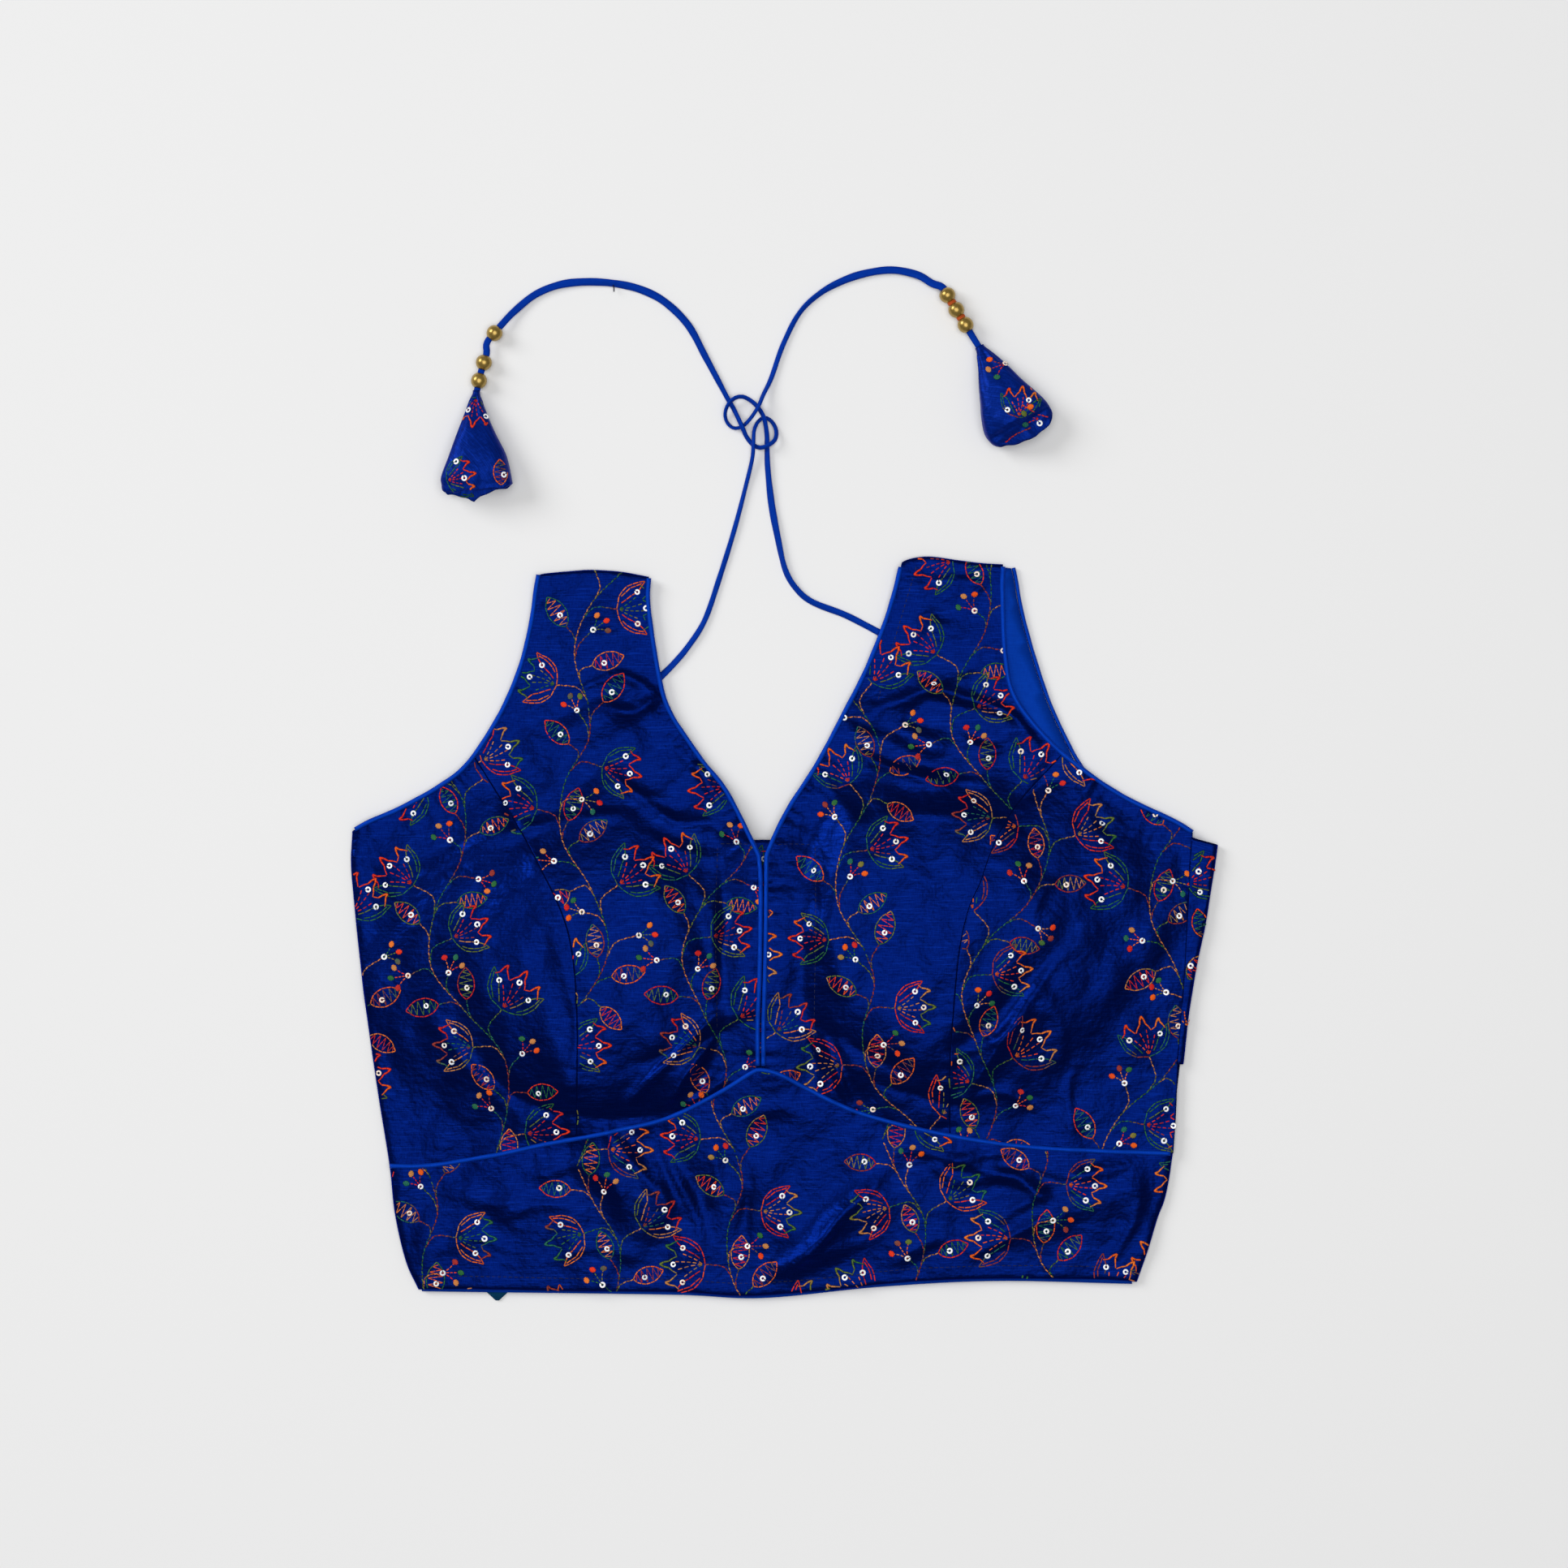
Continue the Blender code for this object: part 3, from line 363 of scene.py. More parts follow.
# %% Creases and puckers
CREASES = [  # points, half width on its left, on its right, rise
    # crisp folds round the placket, under the cups and in the band
    ([(-38, 54), (-24, 47), (-13, 43)], 1.8, 2.6, 1.0),
    ([(-80, -70), (-52, -62), (-16, -45)], 4.0, 7.0, -1.5),
    ([(-60, -93), (-40, -84), (-25, -70)], 2.4, 4.0, 1.1),
    ([(27, -54), (46, -66), (68, -75)], 4.0, 6.0, -1.3),
    ([(64, -130), (92, -118), (124, -115)], 2.6, 5.0, 1.2),
    ([(-17, -128), (-20, -150), (-19, -180)], 2.0, 3.0, -1.0),
    ([(-68, -118), (-63, -130), (-60, -141)], 1.8, 3.0, 1.0),
    ([(64, 117), (88, 110), (113, 112)], 2.2, 5.0, 1.3),
    ([(128, -122), (150, -128), (168, -120)], 2.4, 4.0, 1.1),
    ([(-148, -150), (-126, -142), (-104, -146)], 2.4, 4.0, 1.0),
    # left strap and shoulder
    ([(-128, 115), (-108, 123), (-85, 131), (-68, 123)], 2.6, 4.0, 2.2),
    ([(-95, 116), (-78, 112), (-66, 120)], 3.0, 5.0, 1.5),
    ([(-128, 104), (-116, 96)], 4.0, 4.0, -1.2),
    ([(-92, 83), (-80, 72), (-60, 66)], 4.0, 3.0, 1.4),
    ([(-76, 69), (-56, 56), (-37, 56)], 3.0, 5.0, 1.8),
    ([(-58, 94), (-44, 82), (-33, 64)], 3.5, 3.5, 1.1),
    ([(-110, 150), (-92, 158), (-74, 150)], 5.0, 5.0, 0.8),
    ([(-70, 48), (-52, 40), (-34, 36)], 4.0, 3.0, 1.2),
    # left cup and side
    ([(-183, 30), (-154, 46), (-116, 56), (-84, 60)], 3.0, 6.0, 1.8),
    ([(-148, 70), (-136, 50)], 3.0, 3.0, -1.0),
    ([(-168, -60), (-136, -88), (-88, -98), (-50, -92)], 6.0, 4.0, -1.4),
    ([(-182, -45), (-160, -72), (-136, -98)], 4.0, 6.0, 1.4),
    ([(-80, -88), (-62, -70), (-44, -52), (-36, -44)], 2.6, 4.5, 3.0),
    ([(-58, -86), (-48, -72), (-36, -56)], 2.6, 2.6, 2.6),
    ([(-66, -92), (-50, -82), (-30, -78)], 2.6, 3.4, 1.5),
    ([(-35, 38), (-35.5, -2), (-35, -36)], 2.4, 4.5, 1.3),
    ([(-46, 22), (-38, 8), (-37, -12)], 4.0, 3.0, 1.0),
    ([(-52, -8), (-40, -22), (-38, -40)], 5.0, 4.0, 1.2),
    ([(-118, -4), (-108, -40), (-107, -70)], 3.0, 3.0, 0.5),
    # right strap and shoulder
    ([(30, 100), (44, 90), (60, 82), (80, 78), (101, 76)], 2.4, 4.6, 2.5),
    ([(34, 90), (58, 82), (92, 70)], 3.2, 4.0, 1.2),
    ([(46, 113), (62, 119), (78, 123), (100, 117), (118, 110), (130, 96)], 4.0, 6.5, 2.6),
    ([(58, 108), (82, 110), (104, 102), (118, 92)], 5.0, 5.0, -1.6),
    ([(60, 132), (80, 124), (100, 132)], 4.0, 4.0, 1.0),
    ([(86, 104), (106, 92), (126, 100)], 6.0, 4.0, 1.6),
    ([(72, 160), (92, 152), (110, 156)], 5.0, 5.0, 0.8),
    ([(66, 176), (88, 180), (108, 176)], 4.0, 5.0, 0.9),
    ([(14, 78), (30, 64), (40, 52)], 5.0, 4.0, 1.0),
    # right cup and side
    ([(28, 54), (60, 60), (96, 58), (120, 50)], 4.0, 7.0, 1.2),
    ([(18, 44), (20, 20), (19, -10)], 2.6, 5.0, 1.4),
    ([(26, 30), (24, 0), (28, -30)], 5.0, 3.0, 0.8),
    ([(92, -88), (104, -68), (122, -40), (141, -14)], 2.8, 6.0, 2.4),
    ([(86, -66), (113, -54), (124, -42)], 3.0, 4.0, 1.6),
    ([(20, -54), (27, -72), (34, -91)], 2.4, 3.4, 2.4),
    ([(12, -50), (20, -66), (24, -86)], 3.0, 3.0, 1.2),
    ([(44, -78), (70, -86), (92, -92)], 5.0, 4.0, -1.2),
    ([(96, -88), (112, -84), (130, -92)], 3.0, 3.0, 1.2),
    ([(120, -20), (138, -40), (144, -66)], 5.0, 6.0, 1.1),
    ([(139, 28), (130, 14), (128, 4)], 3.0, 4.0, 1.0),
    ([(141, 85), (130, 72), (121, 65)], 3.0, 3.0, -1.0),
    ([(161, 59), (167, 50)], 3.0, 3.0, -1.0),
    ([(150, -70), (146, -84), (148, -104)], 4.0, 4.0, 1.2),
    # band
    ([(-168, -134), (-150, -142), (-132, -138)], 5.0, 6.0, 1.2),
    ([(-130, -128), (-108, -122), (-80, -118)], 4.0, 3.0, 1.2),
    ([(-104, -124), (-88, -132), (-82, -146)], 5.0, 4.0, 1.5),
    ([(-62, -114), (-54, -130), (-48, -146)], 4.0, 5.0, 1.8),
    ([(-58, -126), (-48, -140), (-42, -160)], 3.0, 3.0, 1.4),
    ([(-36, -116), (-34, -132), (-40, -148)], 4.0, 4.0, 1.2),
    ([(-20, -96), (0, -92), (14, -98)], 4.0, 4.0, 1.0),
    ([(-10, -181), (14, -166), (30, -147), (48, -132)], 5.5, 2.6, 3.0),
    ([(64, -112), (90, -120), (118, -130)], 4.0, 3.0, 1.8),
    ([(108, -124), (122, -130), (138, -142)], 5.0, 3.5, 2.4),
    ([(-91, -104), (-76, -122), (-58, -143)], 3.0, 5.0, 2.2),
    ([(2, -178), (26, -166), (48, -160)], 4.0, 4.0, 1.5),
    ([(74, -120), (92, -130), (124, -126)], 5.0, 4.0, 1.6),
    ([(98, -168), (118, -158), (136, -148)], 3.4, 3.4, 1.8),
    ([(112, -150), (130, -138), (154, -132)], 5.0, 5.0, 1.6),
    ([(138, -122), (160, -126), (182, -120)], 4.0, 4.0, 1.2),
    ([(60, -170), (78, -160), (92, -162)], 4.0, 5.0, 1.2),
    ([(168, -172), (178, -156), (184, -140)], 4.0, 4.0, 1.2),
    ([(-182, -168), (-160, -160), (-140, -166)], 5.0, 5.0, 1.0),
    ([(-120, -172), (-96, -164), (-74, -172)], 5.0, 4.0, 1.0),
]
PUCKERED = {"neck_left": 0.46, "neck_right": 0.46, "armhole_left": 0.42, "armhole_right": 0.50,
            "waist": 0.24, "princess_left": 0.22, "princess_right": 0.22}
PUCKER_REACH = 9.0
PUCKER_WAVES = [(6.3, 1.0, 0.4), (9.7, 0.8, 1.9), (14.9, 0.7, 3.3), (4.4, 0.35, 5.2)]  # length, height, lag
PUCKER_PATCH, PUCKER_PATCHY, PUCKER_START = 31.0, 0.45, 2.5
UNEVEN_WAVES = [  # wave length along x, along y, phase, height: the slack that pressing leaves
    (61, 83, 0.3, 0.35), (-47, 58, 1.7, 0.30), (35, -41, 4.1, 0.22), (27, 73, 2.6, 0.20),
    (-29, 31, 5.5, 0.14), (19, -88, 0.9, 0.12),
]
UNEVEN_DEPTH = 1.1
CREASE_DEPTH, CREASE_FALL, CREASE_ROUND, CREASE_TIP = 1.55, 1.5, 0.4, 0.25
SETTLE, SETTLE_DIP = 2.0, 0.35  # how softly the hollows come to rest on the layer below


def crease_rise(x, y):
    """Ridges and hollows that are sharper along their middle line than the broad folds."""
    rise = np.zeros_like(x)
    for points, left, right, height in CREASES:
        line = smooth_line(points, 2.0)
        reach = 3 * max(left, right)
        low, high = line.min(0) - reach, line.max(0) + reach
        near = (x > low[0]) & (x < high[0]) & (y > low[1]) & (y < high[1])
        if not near.any():
            continue
        apart, along, side = distance_to(line, x[near], y[near])
        share = along / travel(line)[-1]
        fade = CREASE_TIP + (1 - CREASE_TIP) * np.sin(math.pi * np.clip(share, 0.03, 0.97)) ** 0.7
        slope = CREASE_FALL * apart / np.where(side > 0, left, right)
        ridge = np.exp(CREASE_ROUND - np.sqrt(slope**2 + CREASE_ROUND**2))
        rise[near] += CREASE_DEPTH * height * fade * ridge
    return rise


def pucker_rise(x, y):
    """Small waves that stand beside each seam and die away from it."""
    rise = np.zeros_like(x)
    for name, height in PUCKERED.items():
        apart, along, _ = distance_to(edges[name], x, y)
        wave = sum(a * np.sin(2 * math.pi * along / w + p) for w, a, p in PUCKER_WAVES)
        patchy = 1 - PUCKER_PATCHY + PUCKER_PATCHY * np.sin(along / PUCKER_PATCH + len(name))
        near = np.exp(-apart / PUCKER_REACH) * smooth_step(apart / PUCKER_START + 0.35)
        rise += height * patchy * wave * near
    return rise


def uneven_rise(x, y):
    """The slack of the whole cloth, as a sum of long waves."""
    return sum(h * np.sin(2 * math.pi * (x / a + y / b) + p) for a, b, p, h in UNEVEN_WAVES)


def front_height(x, y):
    """Height in mm of the front's upper face above the floor."""
    crown = np.clip(1 - ((x - CROWN_MIDDLE[0]) / CROWN_REACH[0]) ** 2, 0, 1)
    crown *= np.clip(1 - ((y - CROWN_MIDDLE[1]) / CROWN_REACH[1]) ** 2, 0, 1)
    lift = smooth_step((PLACKET_FLAT + PLACKET_FADE - np.abs(x - PLACKET_X)) / PLACKET_FADE)
    lift *= smooth_step((PLACKET_TOP_Y - y) / PLACKET_TOP_FADE)
    lift *= smooth_step((y - PLACKET_LOW_Y) / PLACKET_LOW_FADE)
    free = CROWN_RISE * crown + cup_rise(x, y) + fold_rise(x, y)
    free = free + crease_rise(x, y) + pucker_rise(x, y) + UNEVEN_DEPTH * uneven_rise(x, y)
    settled = np.logaddexp(0, free * SETTLE) / SETTLE - SETTLE_DIP * np.exp(-np.abs(free))
    return FRONT_FACE + PLACKET_LIFT * lift + settled


test_x, test_y = np.meshgrid(np.linspace(-200, 200, 81), np.linspace(-180, 180, 73))
heights = front_height(test_x.ravel(), test_y.ravel())
print(f"the front's face is {heights.min():.1f} to {heights.max():.1f} mm above the floor")

# %% [markdown]
# ## Finishes
#
# Dupion silk has a smooth warp and a knobbly weft. Its threads shine like dull metal along the
# surface, so it is bright facing the lamp and almost black on a slope. The weave group below
# gives a fine height for the bump and a tone for the thread's uneven dye. Each cloth uses it with
# its own strength of slub and reads it from a flat map in metres that lies on the cloth.

# %% Nodes that several finishes use
def spread(tree, value, low, high, start=0.0, end=1.0):
    """The value, its range from start to end spread from low to high."""
    node = tree.nodes.new("ShaderNodeMapRange")
    for name, number in (("From Min", start), ("From Max", end), ("To Min", low), ("To Max", high)):
        node.inputs[name].default_value = number
    tree.links.new(value, node.inputs["Value"])
    return node.outputs["Result"]


def mix_colours(tree, factor, one, other):
    mix = tree.nodes.new("ShaderNodeMix")
    mix.data_type = "RGBA"
    mix.inputs["A"].default_value, mix.inputs["B"].default_value = (*one, 1), (*other, 1)
    tree.links.new(factor, mix.inputs["Factor"])
    return mix.outputs["Result"]


def add_relief(tree, height, strength, depth_mm, socket):
    """A bump of this depth, its normal carried into the socket."""
    relief = tree.nodes.new("ShaderNodeBump")
    relief.inputs["Strength"].default_value = strength
    relief.inputs["Distance"].default_value = depth_mm * MM
    tree.links.new(height, relief.inputs["Height"])
    tree.links.new(relief.outputs["Normal"], socket)
    return relief


def noise_on_piece(tree, features, detail=2.0):
    """Cloudy noise with this many features per metre, fixed to the piece."""
    place = tree.nodes.new("ShaderNodeTexCoord")
    noise = tree.nodes.new("ShaderNodeTexNoise")
    noise.inputs["Scale"].default_value = features
    noise.inputs["Detail"].default_value = detail
    tree.links.new(place.outputs["Object"], noise.inputs["Vector"])
    return noise.outputs["Fac"]


def dye_on_piece(tree, shader):
    """The colour that is stored at each point of the mesh."""
    dye = tree.nodes.new("ShaderNodeAttribute")
    dye.attribute_name = "dye"
    tree.links.new(dye.outputs["Color"], shader.inputs["Base Color"])


# %% A weave that each cloth can use
# features per metre across and upwards, and detail
WEFT, WARP, SLUBS, SLACK = (150.0, 2300.0, 2.0), (2600.0, 260.0, 1.0), (55.0, 1200.0, 1.0), (74.0, 88.0, 3.0)
WEFT_SHARE, SLUB_FROM, SLUB_TO = 0.62, 0.56, 0.74


def stretched_noise(group, vector, across, upwards, detail):
    """Noise drawn out into threads: both counts are features per metre."""
    scale = group.nodes.new("ShaderNodeVectorMath")
    scale.operation = "MULTIPLY"
    scale.inputs[1].default_value = (across, upwards, 1.0)
    noise = group.nodes.new("ShaderNodeTexNoise")
    noise.inputs["Scale"].default_value = 1.0
    noise.inputs["Detail"].default_value = detail
    noise.inputs["Roughness"].default_value = 0.55
    group.links.new(vector, scale.inputs[0])
    group.links.new(scale.outputs[0], noise.inputs["Vector"])
    return noise.outputs["Fac"]


def blend(group, kind, one, other, clamp=False):
    """A sum or product of two sockets, or of a socket and a number."""
    node = group.nodes.new("ShaderNodeMath")
    node.operation, node.use_clamp = kind, clamp
    for socket, value in zip(node.inputs, (one, other)):
        if isinstance(value, bpy.types.NodeSocket):
            group.links.new(value, socket)
        else:
            socket.default_value = value
    return node.outputs[0]


def make_weave():
    group = bpy.data.node_groups.new("dupion weave", "ShaderNodeTree")
    group.interface.new_socket("Vector", in_out="INPUT", socket_type="NodeSocketVector")
    group.interface.new_socket("Slub strength", in_out="INPUT", socket_type="NodeSocketFloat")
    for name in ("Tone", "Height", "Slack"):
        group.interface.new_socket(name, in_out="OUTPUT", socket_type="NodeSocketFloat")
    given, made = group.nodes.new("NodeGroupInput"), group.nodes.new("NodeGroupOutput")
    vector = given.outputs["Vector"]
    weft, warp, slub, slack = [stretched_noise(group, vector, *row) for row in (WEFT, WARP, SLUBS, SLACK)]
    thick = spread(group, slub, 0.0, 1.0, SLUB_FROM, SLUB_TO)
    slubs = blend(group, "MULTIPLY", thick, given.outputs["Slub strength"])
    threads = blend(group, "ADD", blend(group, "MULTIPLY", weft, WEFT_SHARE),
                    blend(group, "MULTIPLY", warp, 1 - WEFT_SHARE))
    group.links.new(blend(group, "ADD", threads, slubs, True), made.inputs["Tone"])
    group.links.new(blend(group, "ADD", threads, slubs), made.inputs["Height"])
    group.links.new(slack, made.inputs["Slack"])
    return group


weave = make_weave()

# %% The cloths
DYE_FROM, DYE_TO, GLOSS_SPREAD = 0.34, 0.72, 0.06
WEAVE_DEPTH = 0.12
SHEEN_TINT, SPECULAR_TINT = (0.015, 0.07, 0.60, 1), (0.10, 0.25, 1.0, 1)
CLOTHS = [  # name, slot, dye at its deepest and lightest, roughness, metal, sheen, slub, bump, crumple
    ("blue dupion silk", "silk", (0.0002, 0.0036, 0.056), (0.0007, 0.0089, 0.110),
     0.38, 1.0, 0.35, 0.36, 0.5, 1.4),
    # the blouse silk again for the tassels, its dye made about twice as light: painted light that offsets the
    # shade on the cones' sloping tops
    ("blue dupion silk painted lighter for the tassels", "silk", (0.0004, 0.0085, 0.120), (0.0016, 0.0200, 0.240),
     0.42, 0.45, 0.0, 0.42, 0.55, 1.6),
    ("plain blue lining", "lining", (0.0004, 0.030, 0.300), (0.0010, 0.042, 0.380),
     0.60, 0.15, 0.0, 0.1, 0.25, 0.0),
    ("bias piping", "piping", (0.0006, 0.032, 0.330), (0.0016, 0.046, 0.430),
     0.50, 0.35, 0.0, 0.15, 0.35, 0.0),
    ("cord silk", "cord", (0.0004, 0.024, 0.270), (0.0010, 0.036, 0.350),
     0.60, 0.20, 0.0, 0.15, 0.35, 0.0),
    ("teal tape", "tape", (0.002, 0.035, 0.085), (0.004, 0.06, 0.13), 0.7, 0.0, 0.1, 0.2, 0.5, 0.0),
]


def cloth_finish(name, slot, dark, light, roughness, metal, sheen, slub, bump, crumple):
    """A woven finish, read from the cloth's flat map."""
    finish, tree, shader = new_finish(name, {
        "Metallic": metal, "Sheen Weight": sheen, "Sheen Roughness": 0.5, "Sheen Tint": SHEEN_TINT,
        "Specular IOR Level": 0.2, "Specular Tint": SPECULAR_TINT})
    grain = tree.nodes.new("ShaderNodeUVMap")
    grain.uv_map = "grain"
    threads = tree.nodes.new("ShaderNodeGroup")
    threads.node_tree = weave
    threads.inputs["Slub strength"].default_value = slub
    tree.links.new(grain.outputs["UV"], threads.inputs["Vector"])
    tone = threads.outputs["Tone"]
    dye = spread(tree, tone, 0.0, 1.0, DYE_FROM, DYE_TO)
    gloss = spread(tree, tone, roughness + GLOSS_SPREAD, roughness - GLOSS_SPREAD)
    tree.links.new(mix_colours(tree, dye, dark, light), shader.inputs["Base Color"])
    tree.links.new(gloss, shader.inputs["Roughness"])
    relief = add_relief(tree, threads.outputs["Height"], bump, WEAVE_DEPTH, shader.inputs["Normal"])
    if crumple:
        add_relief(tree, threads.outputs["Slack"], 1.0, crumple, relief.inputs["Normal"])
    return finish


def thread_finish():
    """Stranded embroidery thread: its colour, with each stitch's painted shading, is stored on each stitch.
    """
    finish, tree, shader = new_finish("embroidery thread", {"Specular IOR Level": 0.25})
    dye_on_piece(tree, shader)
    strands = noise_on_piece(tree, 3800.0)
    tree.links.new(spread(tree, strands, 0.42, 0.7), shader.inputs["Roughness"])
    add_relief(tree, strands, 0.4, 0.1, shader.inputs["Normal"])
    return finish


silk, lit_tassel_silk, bright_lining, bias_silk, cord_silk, tape_cloth = [cloth_finish(*row) for row in CLOTHS]
thread = thread_finish()

# %% [markdown]
# ## Cutting the panels
#
# Each panel of the front is a grid laid between its four edges. The rows are close together at
# the edges, where the cloth rolls down into a seam or a fold, and about 2 mm apart inside. The
# seam edges meet, so the only line that shows is the groove that a real seam leaves.

# %% Mesh helpers
EDGE_ROWS, INNER_FROM = [0.0, 0.5, 1.1, 1.9, 3.0, 4.4], 6.2
CLOTH_STEP = 1.9
FRONT_WALL = 1.3


def new_grid(columns, rows):
    """A bmesh grid, and for each of its points how far across and along it lies, from 0 to 1."""
    mesh = bmesh.new()
    bmesh.ops.create_grid(mesh, x_segments=columns, y_segments=rows, size=0.5)
    return mesh, np.array([(v.co.x + 0.5, v.co.y + 0.5) for v in mesh.verts])


def keep_flat_map(data, flat):
    """Stores the cloth's flat map, in metres, as the UV map named grain."""
    layer = data.uv_layers.new(name="grain")
    corners = np.empty(len(data.loops), dtype=np.int32)
    data.loops.foreach_get("vertex_index", corners)
    layer.data.foreach_set("uv", (np.asarray(flat)[corners] * MM).astype(np.float32).ravel())


def add_piece(name, data, finish, node):
    piece = bpy.data.objects.new(name, data)
    bpy.context.scene.collection.objects.link(piece)
    data.materials.append(finish)
    data.shade_smooth()
    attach(piece, BODY)
    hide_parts(node)
    return piece


def add_wall(piece, wall, offset=-1.0):
    cloth = piece.modifiers.new("cloth wall", "SOLIDIFY")
    cloth.thickness, cloth.offset = wall * MM, offset
    cloth.use_even_offset = False


def four_sides(bottom, top, left, right):
    """The stretches of four crossing lines that enclose a panel."""
    b0, l0, low_left = crossing(bottom, left)
    b1, r0, low_right = crossing(bottom, right)
    t0, l1, high_left = crossing(top, left)
    t1, r1, high_right = crossing(top, right)

    def stretch(line, start, end, first, last):
        piece = at(line, np.linspace(start, end, max(8, int(abs(end - start) / LINE_STEP))))
        piece[0], piece[-1] = first, last
        return piece

    return (stretch(bottom, b0, b1, low_left, low_right), stretch(top, t0, t1, high_left, high_right),
            stretch(left, l0, l1, low_left, high_left), stretch(right, r0, r1, low_right, high_right))


def read_edge(edge, shares, wanted):
    return np.stack([np.interp(wanted, shares, edge[:, i]) for i in range(2)], axis=-1)


def lay_between(sides, u, v):
    """Points inside the four edges, for shares u across and v up."""
    bottom, top, left, right = sides

    def by_length(edge):
        return travel(edge) / travel(edge)[-1]

    def by_height(edge):
        rise = np.maximum.accumulate(edge[:, 1]) + np.linspace(0, 1e-3, len(edge))
        return (rise - rise[0]) / (rise[-1] - rise[0])

    low, high = read_edge(bottom, by_length(bottom), u), read_edge(top, by_length(top), u)
    near, far = read_edge(left, by_height(left), v), read_edge(right, by_height(right), v)
    u, v = u[..., None], v[..., None]
    corners = ((1 - u) * (1 - v) * bottom[0] + u * (1 - v) * bottom[-1]
               + (1 - u) * v * top[0] + u * v * top[-1])
    return (1 - v) * low + v * high + (1 - u) * near + u * far - corners


def close_rows(length):
    """Shares of a length with rows close together at both ends."""
    ends = np.array(EDGE_ROWS)
    count = max(3, round((length - 2 * INNER_FROM) / CLOTH_STEP) + 1)
    inner = np.linspace(INNER_FROM, length - INNER_FROM, count)
    return np.concatenate([ends, inner, length - ends[::-1]]) / length


# %% The front panels
WAIST_SEAM, NECK_SEAM, PLAIN_SEAM = (0.6, 1.6), (0.6, 1.6), (0.10, 0.7)
OPEN_EDGE, FOLDED_EDGE = (1.5, 2.6), (2.2, 4.2)
LINE_REACH, PRINCESS_REACH = 8.0, 16.0
lines = {name: extended(line, PRINCESS_REACH if "princess" in name else LINE_REACH)
         for name, line in edges.items()}
PANELS = {
    # node: four edges (bottom, top, left, right), how far each edge rolls down, and over what width
    "front_side_left": (
        ("waist", "armhole_left", "side_left", "princess_left"),
        (WAIST_SEAM, NECK_SEAM, FOLDED_EDGE, PLAIN_SEAM)),
    "front_centre_left": (
        ("waist", "shoulder_left", ("princess_left", "armhole_left"), "neck_left"),
        (WAIST_SEAM, OPEN_EDGE, PLAIN_SEAM, NECK_SEAM)),
    "front_centre_right": (
        ("waist", "shoulder_right", "neck_right", ("princess_right", "armhole_right")),
        (WAIST_SEAM, OPEN_EDGE, NECK_SEAM, PLAIN_SEAM)),
    "front_side_right": (
        ("waist", "armhole_right", "princess_right", "side_right"),
        (WAIST_SEAM, NECK_SEAM, PLAIN_SEAM, PLAIN_SEAM)),
    "front_band": (
        ("hem", "waist", "side_left", "band_right"),
        (OPEN_EDGE, WAIST_SEAM, FOLDED_EDGE, FOLDED_EDGE)),
}
panel_sides, panel_rolls = {}, {}


def pick(name):
    """One named line, or two that run on into each other."""
    return joined(lines[name[0]], lines[name[1]]) if isinstance(name, tuple) else lines[name]


def rolled(node, x, y):
    """How far the cloth of this panel dips as it rolls down at its four edges."""
    dip = np.zeros_like(x)
    for side, (depth, width) in zip(panel_sides[node], panel_rolls[node]):
        apart, _, _ = distance_to(side, x, y)
        inner = np.clip(1 - apart / width, 0, 1)
        dip = np.maximum(dip, depth * (1 - np.sqrt(1 - inner**2)))
    return dip


def panel_height(node, x, y):
    return front_height(x, y) - rolled(node, x, y)


def add_panel(node):
    names, panel_rolls[node] = PANELS[node]
    bottom, top, left, right = [pick(name) for name in names]
    if node == "front_side_right":
        top = top[::-1]
    sides = panel_sides[node] = four_sides(bottom, top, left, right)
    u_rows = close_rows(max(travel(sides[0])[-1], travel(sides[1])[-1]))
    v_rows = close_rows(max(travel(sides[2])[-1], travel(sides[3])[-1]))
    mesh, cells = new_grid(len(u_rows) - 1, len(v_rows) - 1)
    u = np.interp(cells[:, 0], np.linspace(0, 1, len(u_rows)), u_rows)
    v = np.interp(cells[:, 1], np.linspace(0, 1, len(v_rows)), v_rows)
    flat = lay_between(sides, u, v)
    tall = panel_height(node, flat[:, 0], flat[:, 1])
    for vertex, (x, y), z in zip(mesh.verts, flat, tall):
        vertex.co = (x * MM, y * MM, z * MM)
    data = finished(mesh, node + "_silk")
    keep_flat_map(data, flat)
    piece = add_piece(node + "_silk", data, silk, node)
    add_wall(piece, FRONT_WALL)
    return piece


panels = {node: add_panel(node) for node in PANELS}

# %% [markdown]
# ## Piping
#
# Piping is a strip of cloth cut on the bias, folded over a cord and caught in the seam. It is
# modelled as a closed tube carried along the same curve as the panel's edge. It swells and
# thins a little, because the strip is stretched unevenly as it is fed under the needle.

# %% A closed tube along a path
def closed_round(mesh, name, places, flat):
    """The grid bent round to these places in mm, joined, its ends closed, with its flat map."""
    grain = mesh.loops.layers.uv.new("grain")
    mesh.verts.index_update()
    for vertex, place in zip(mesh.verts, places):
        vertex.co = Vector(place) * MM
    for face in mesh.faces:
        for corner in face.loops:
            corner[grain].uv = flat[corner.vert.index]
    bmesh.ops.remove_doubles(mesh, verts=mesh.verts, dist=1e-7)
    rims = [edge for edge in mesh.edges if edge.is_boundary]
    bmesh.ops.holes_fill(mesh, edges=rims, sides=0)
    bmesh.ops.recalc_face_normals(mesh, faces=mesh.faces)
    return finished(mesh, name)


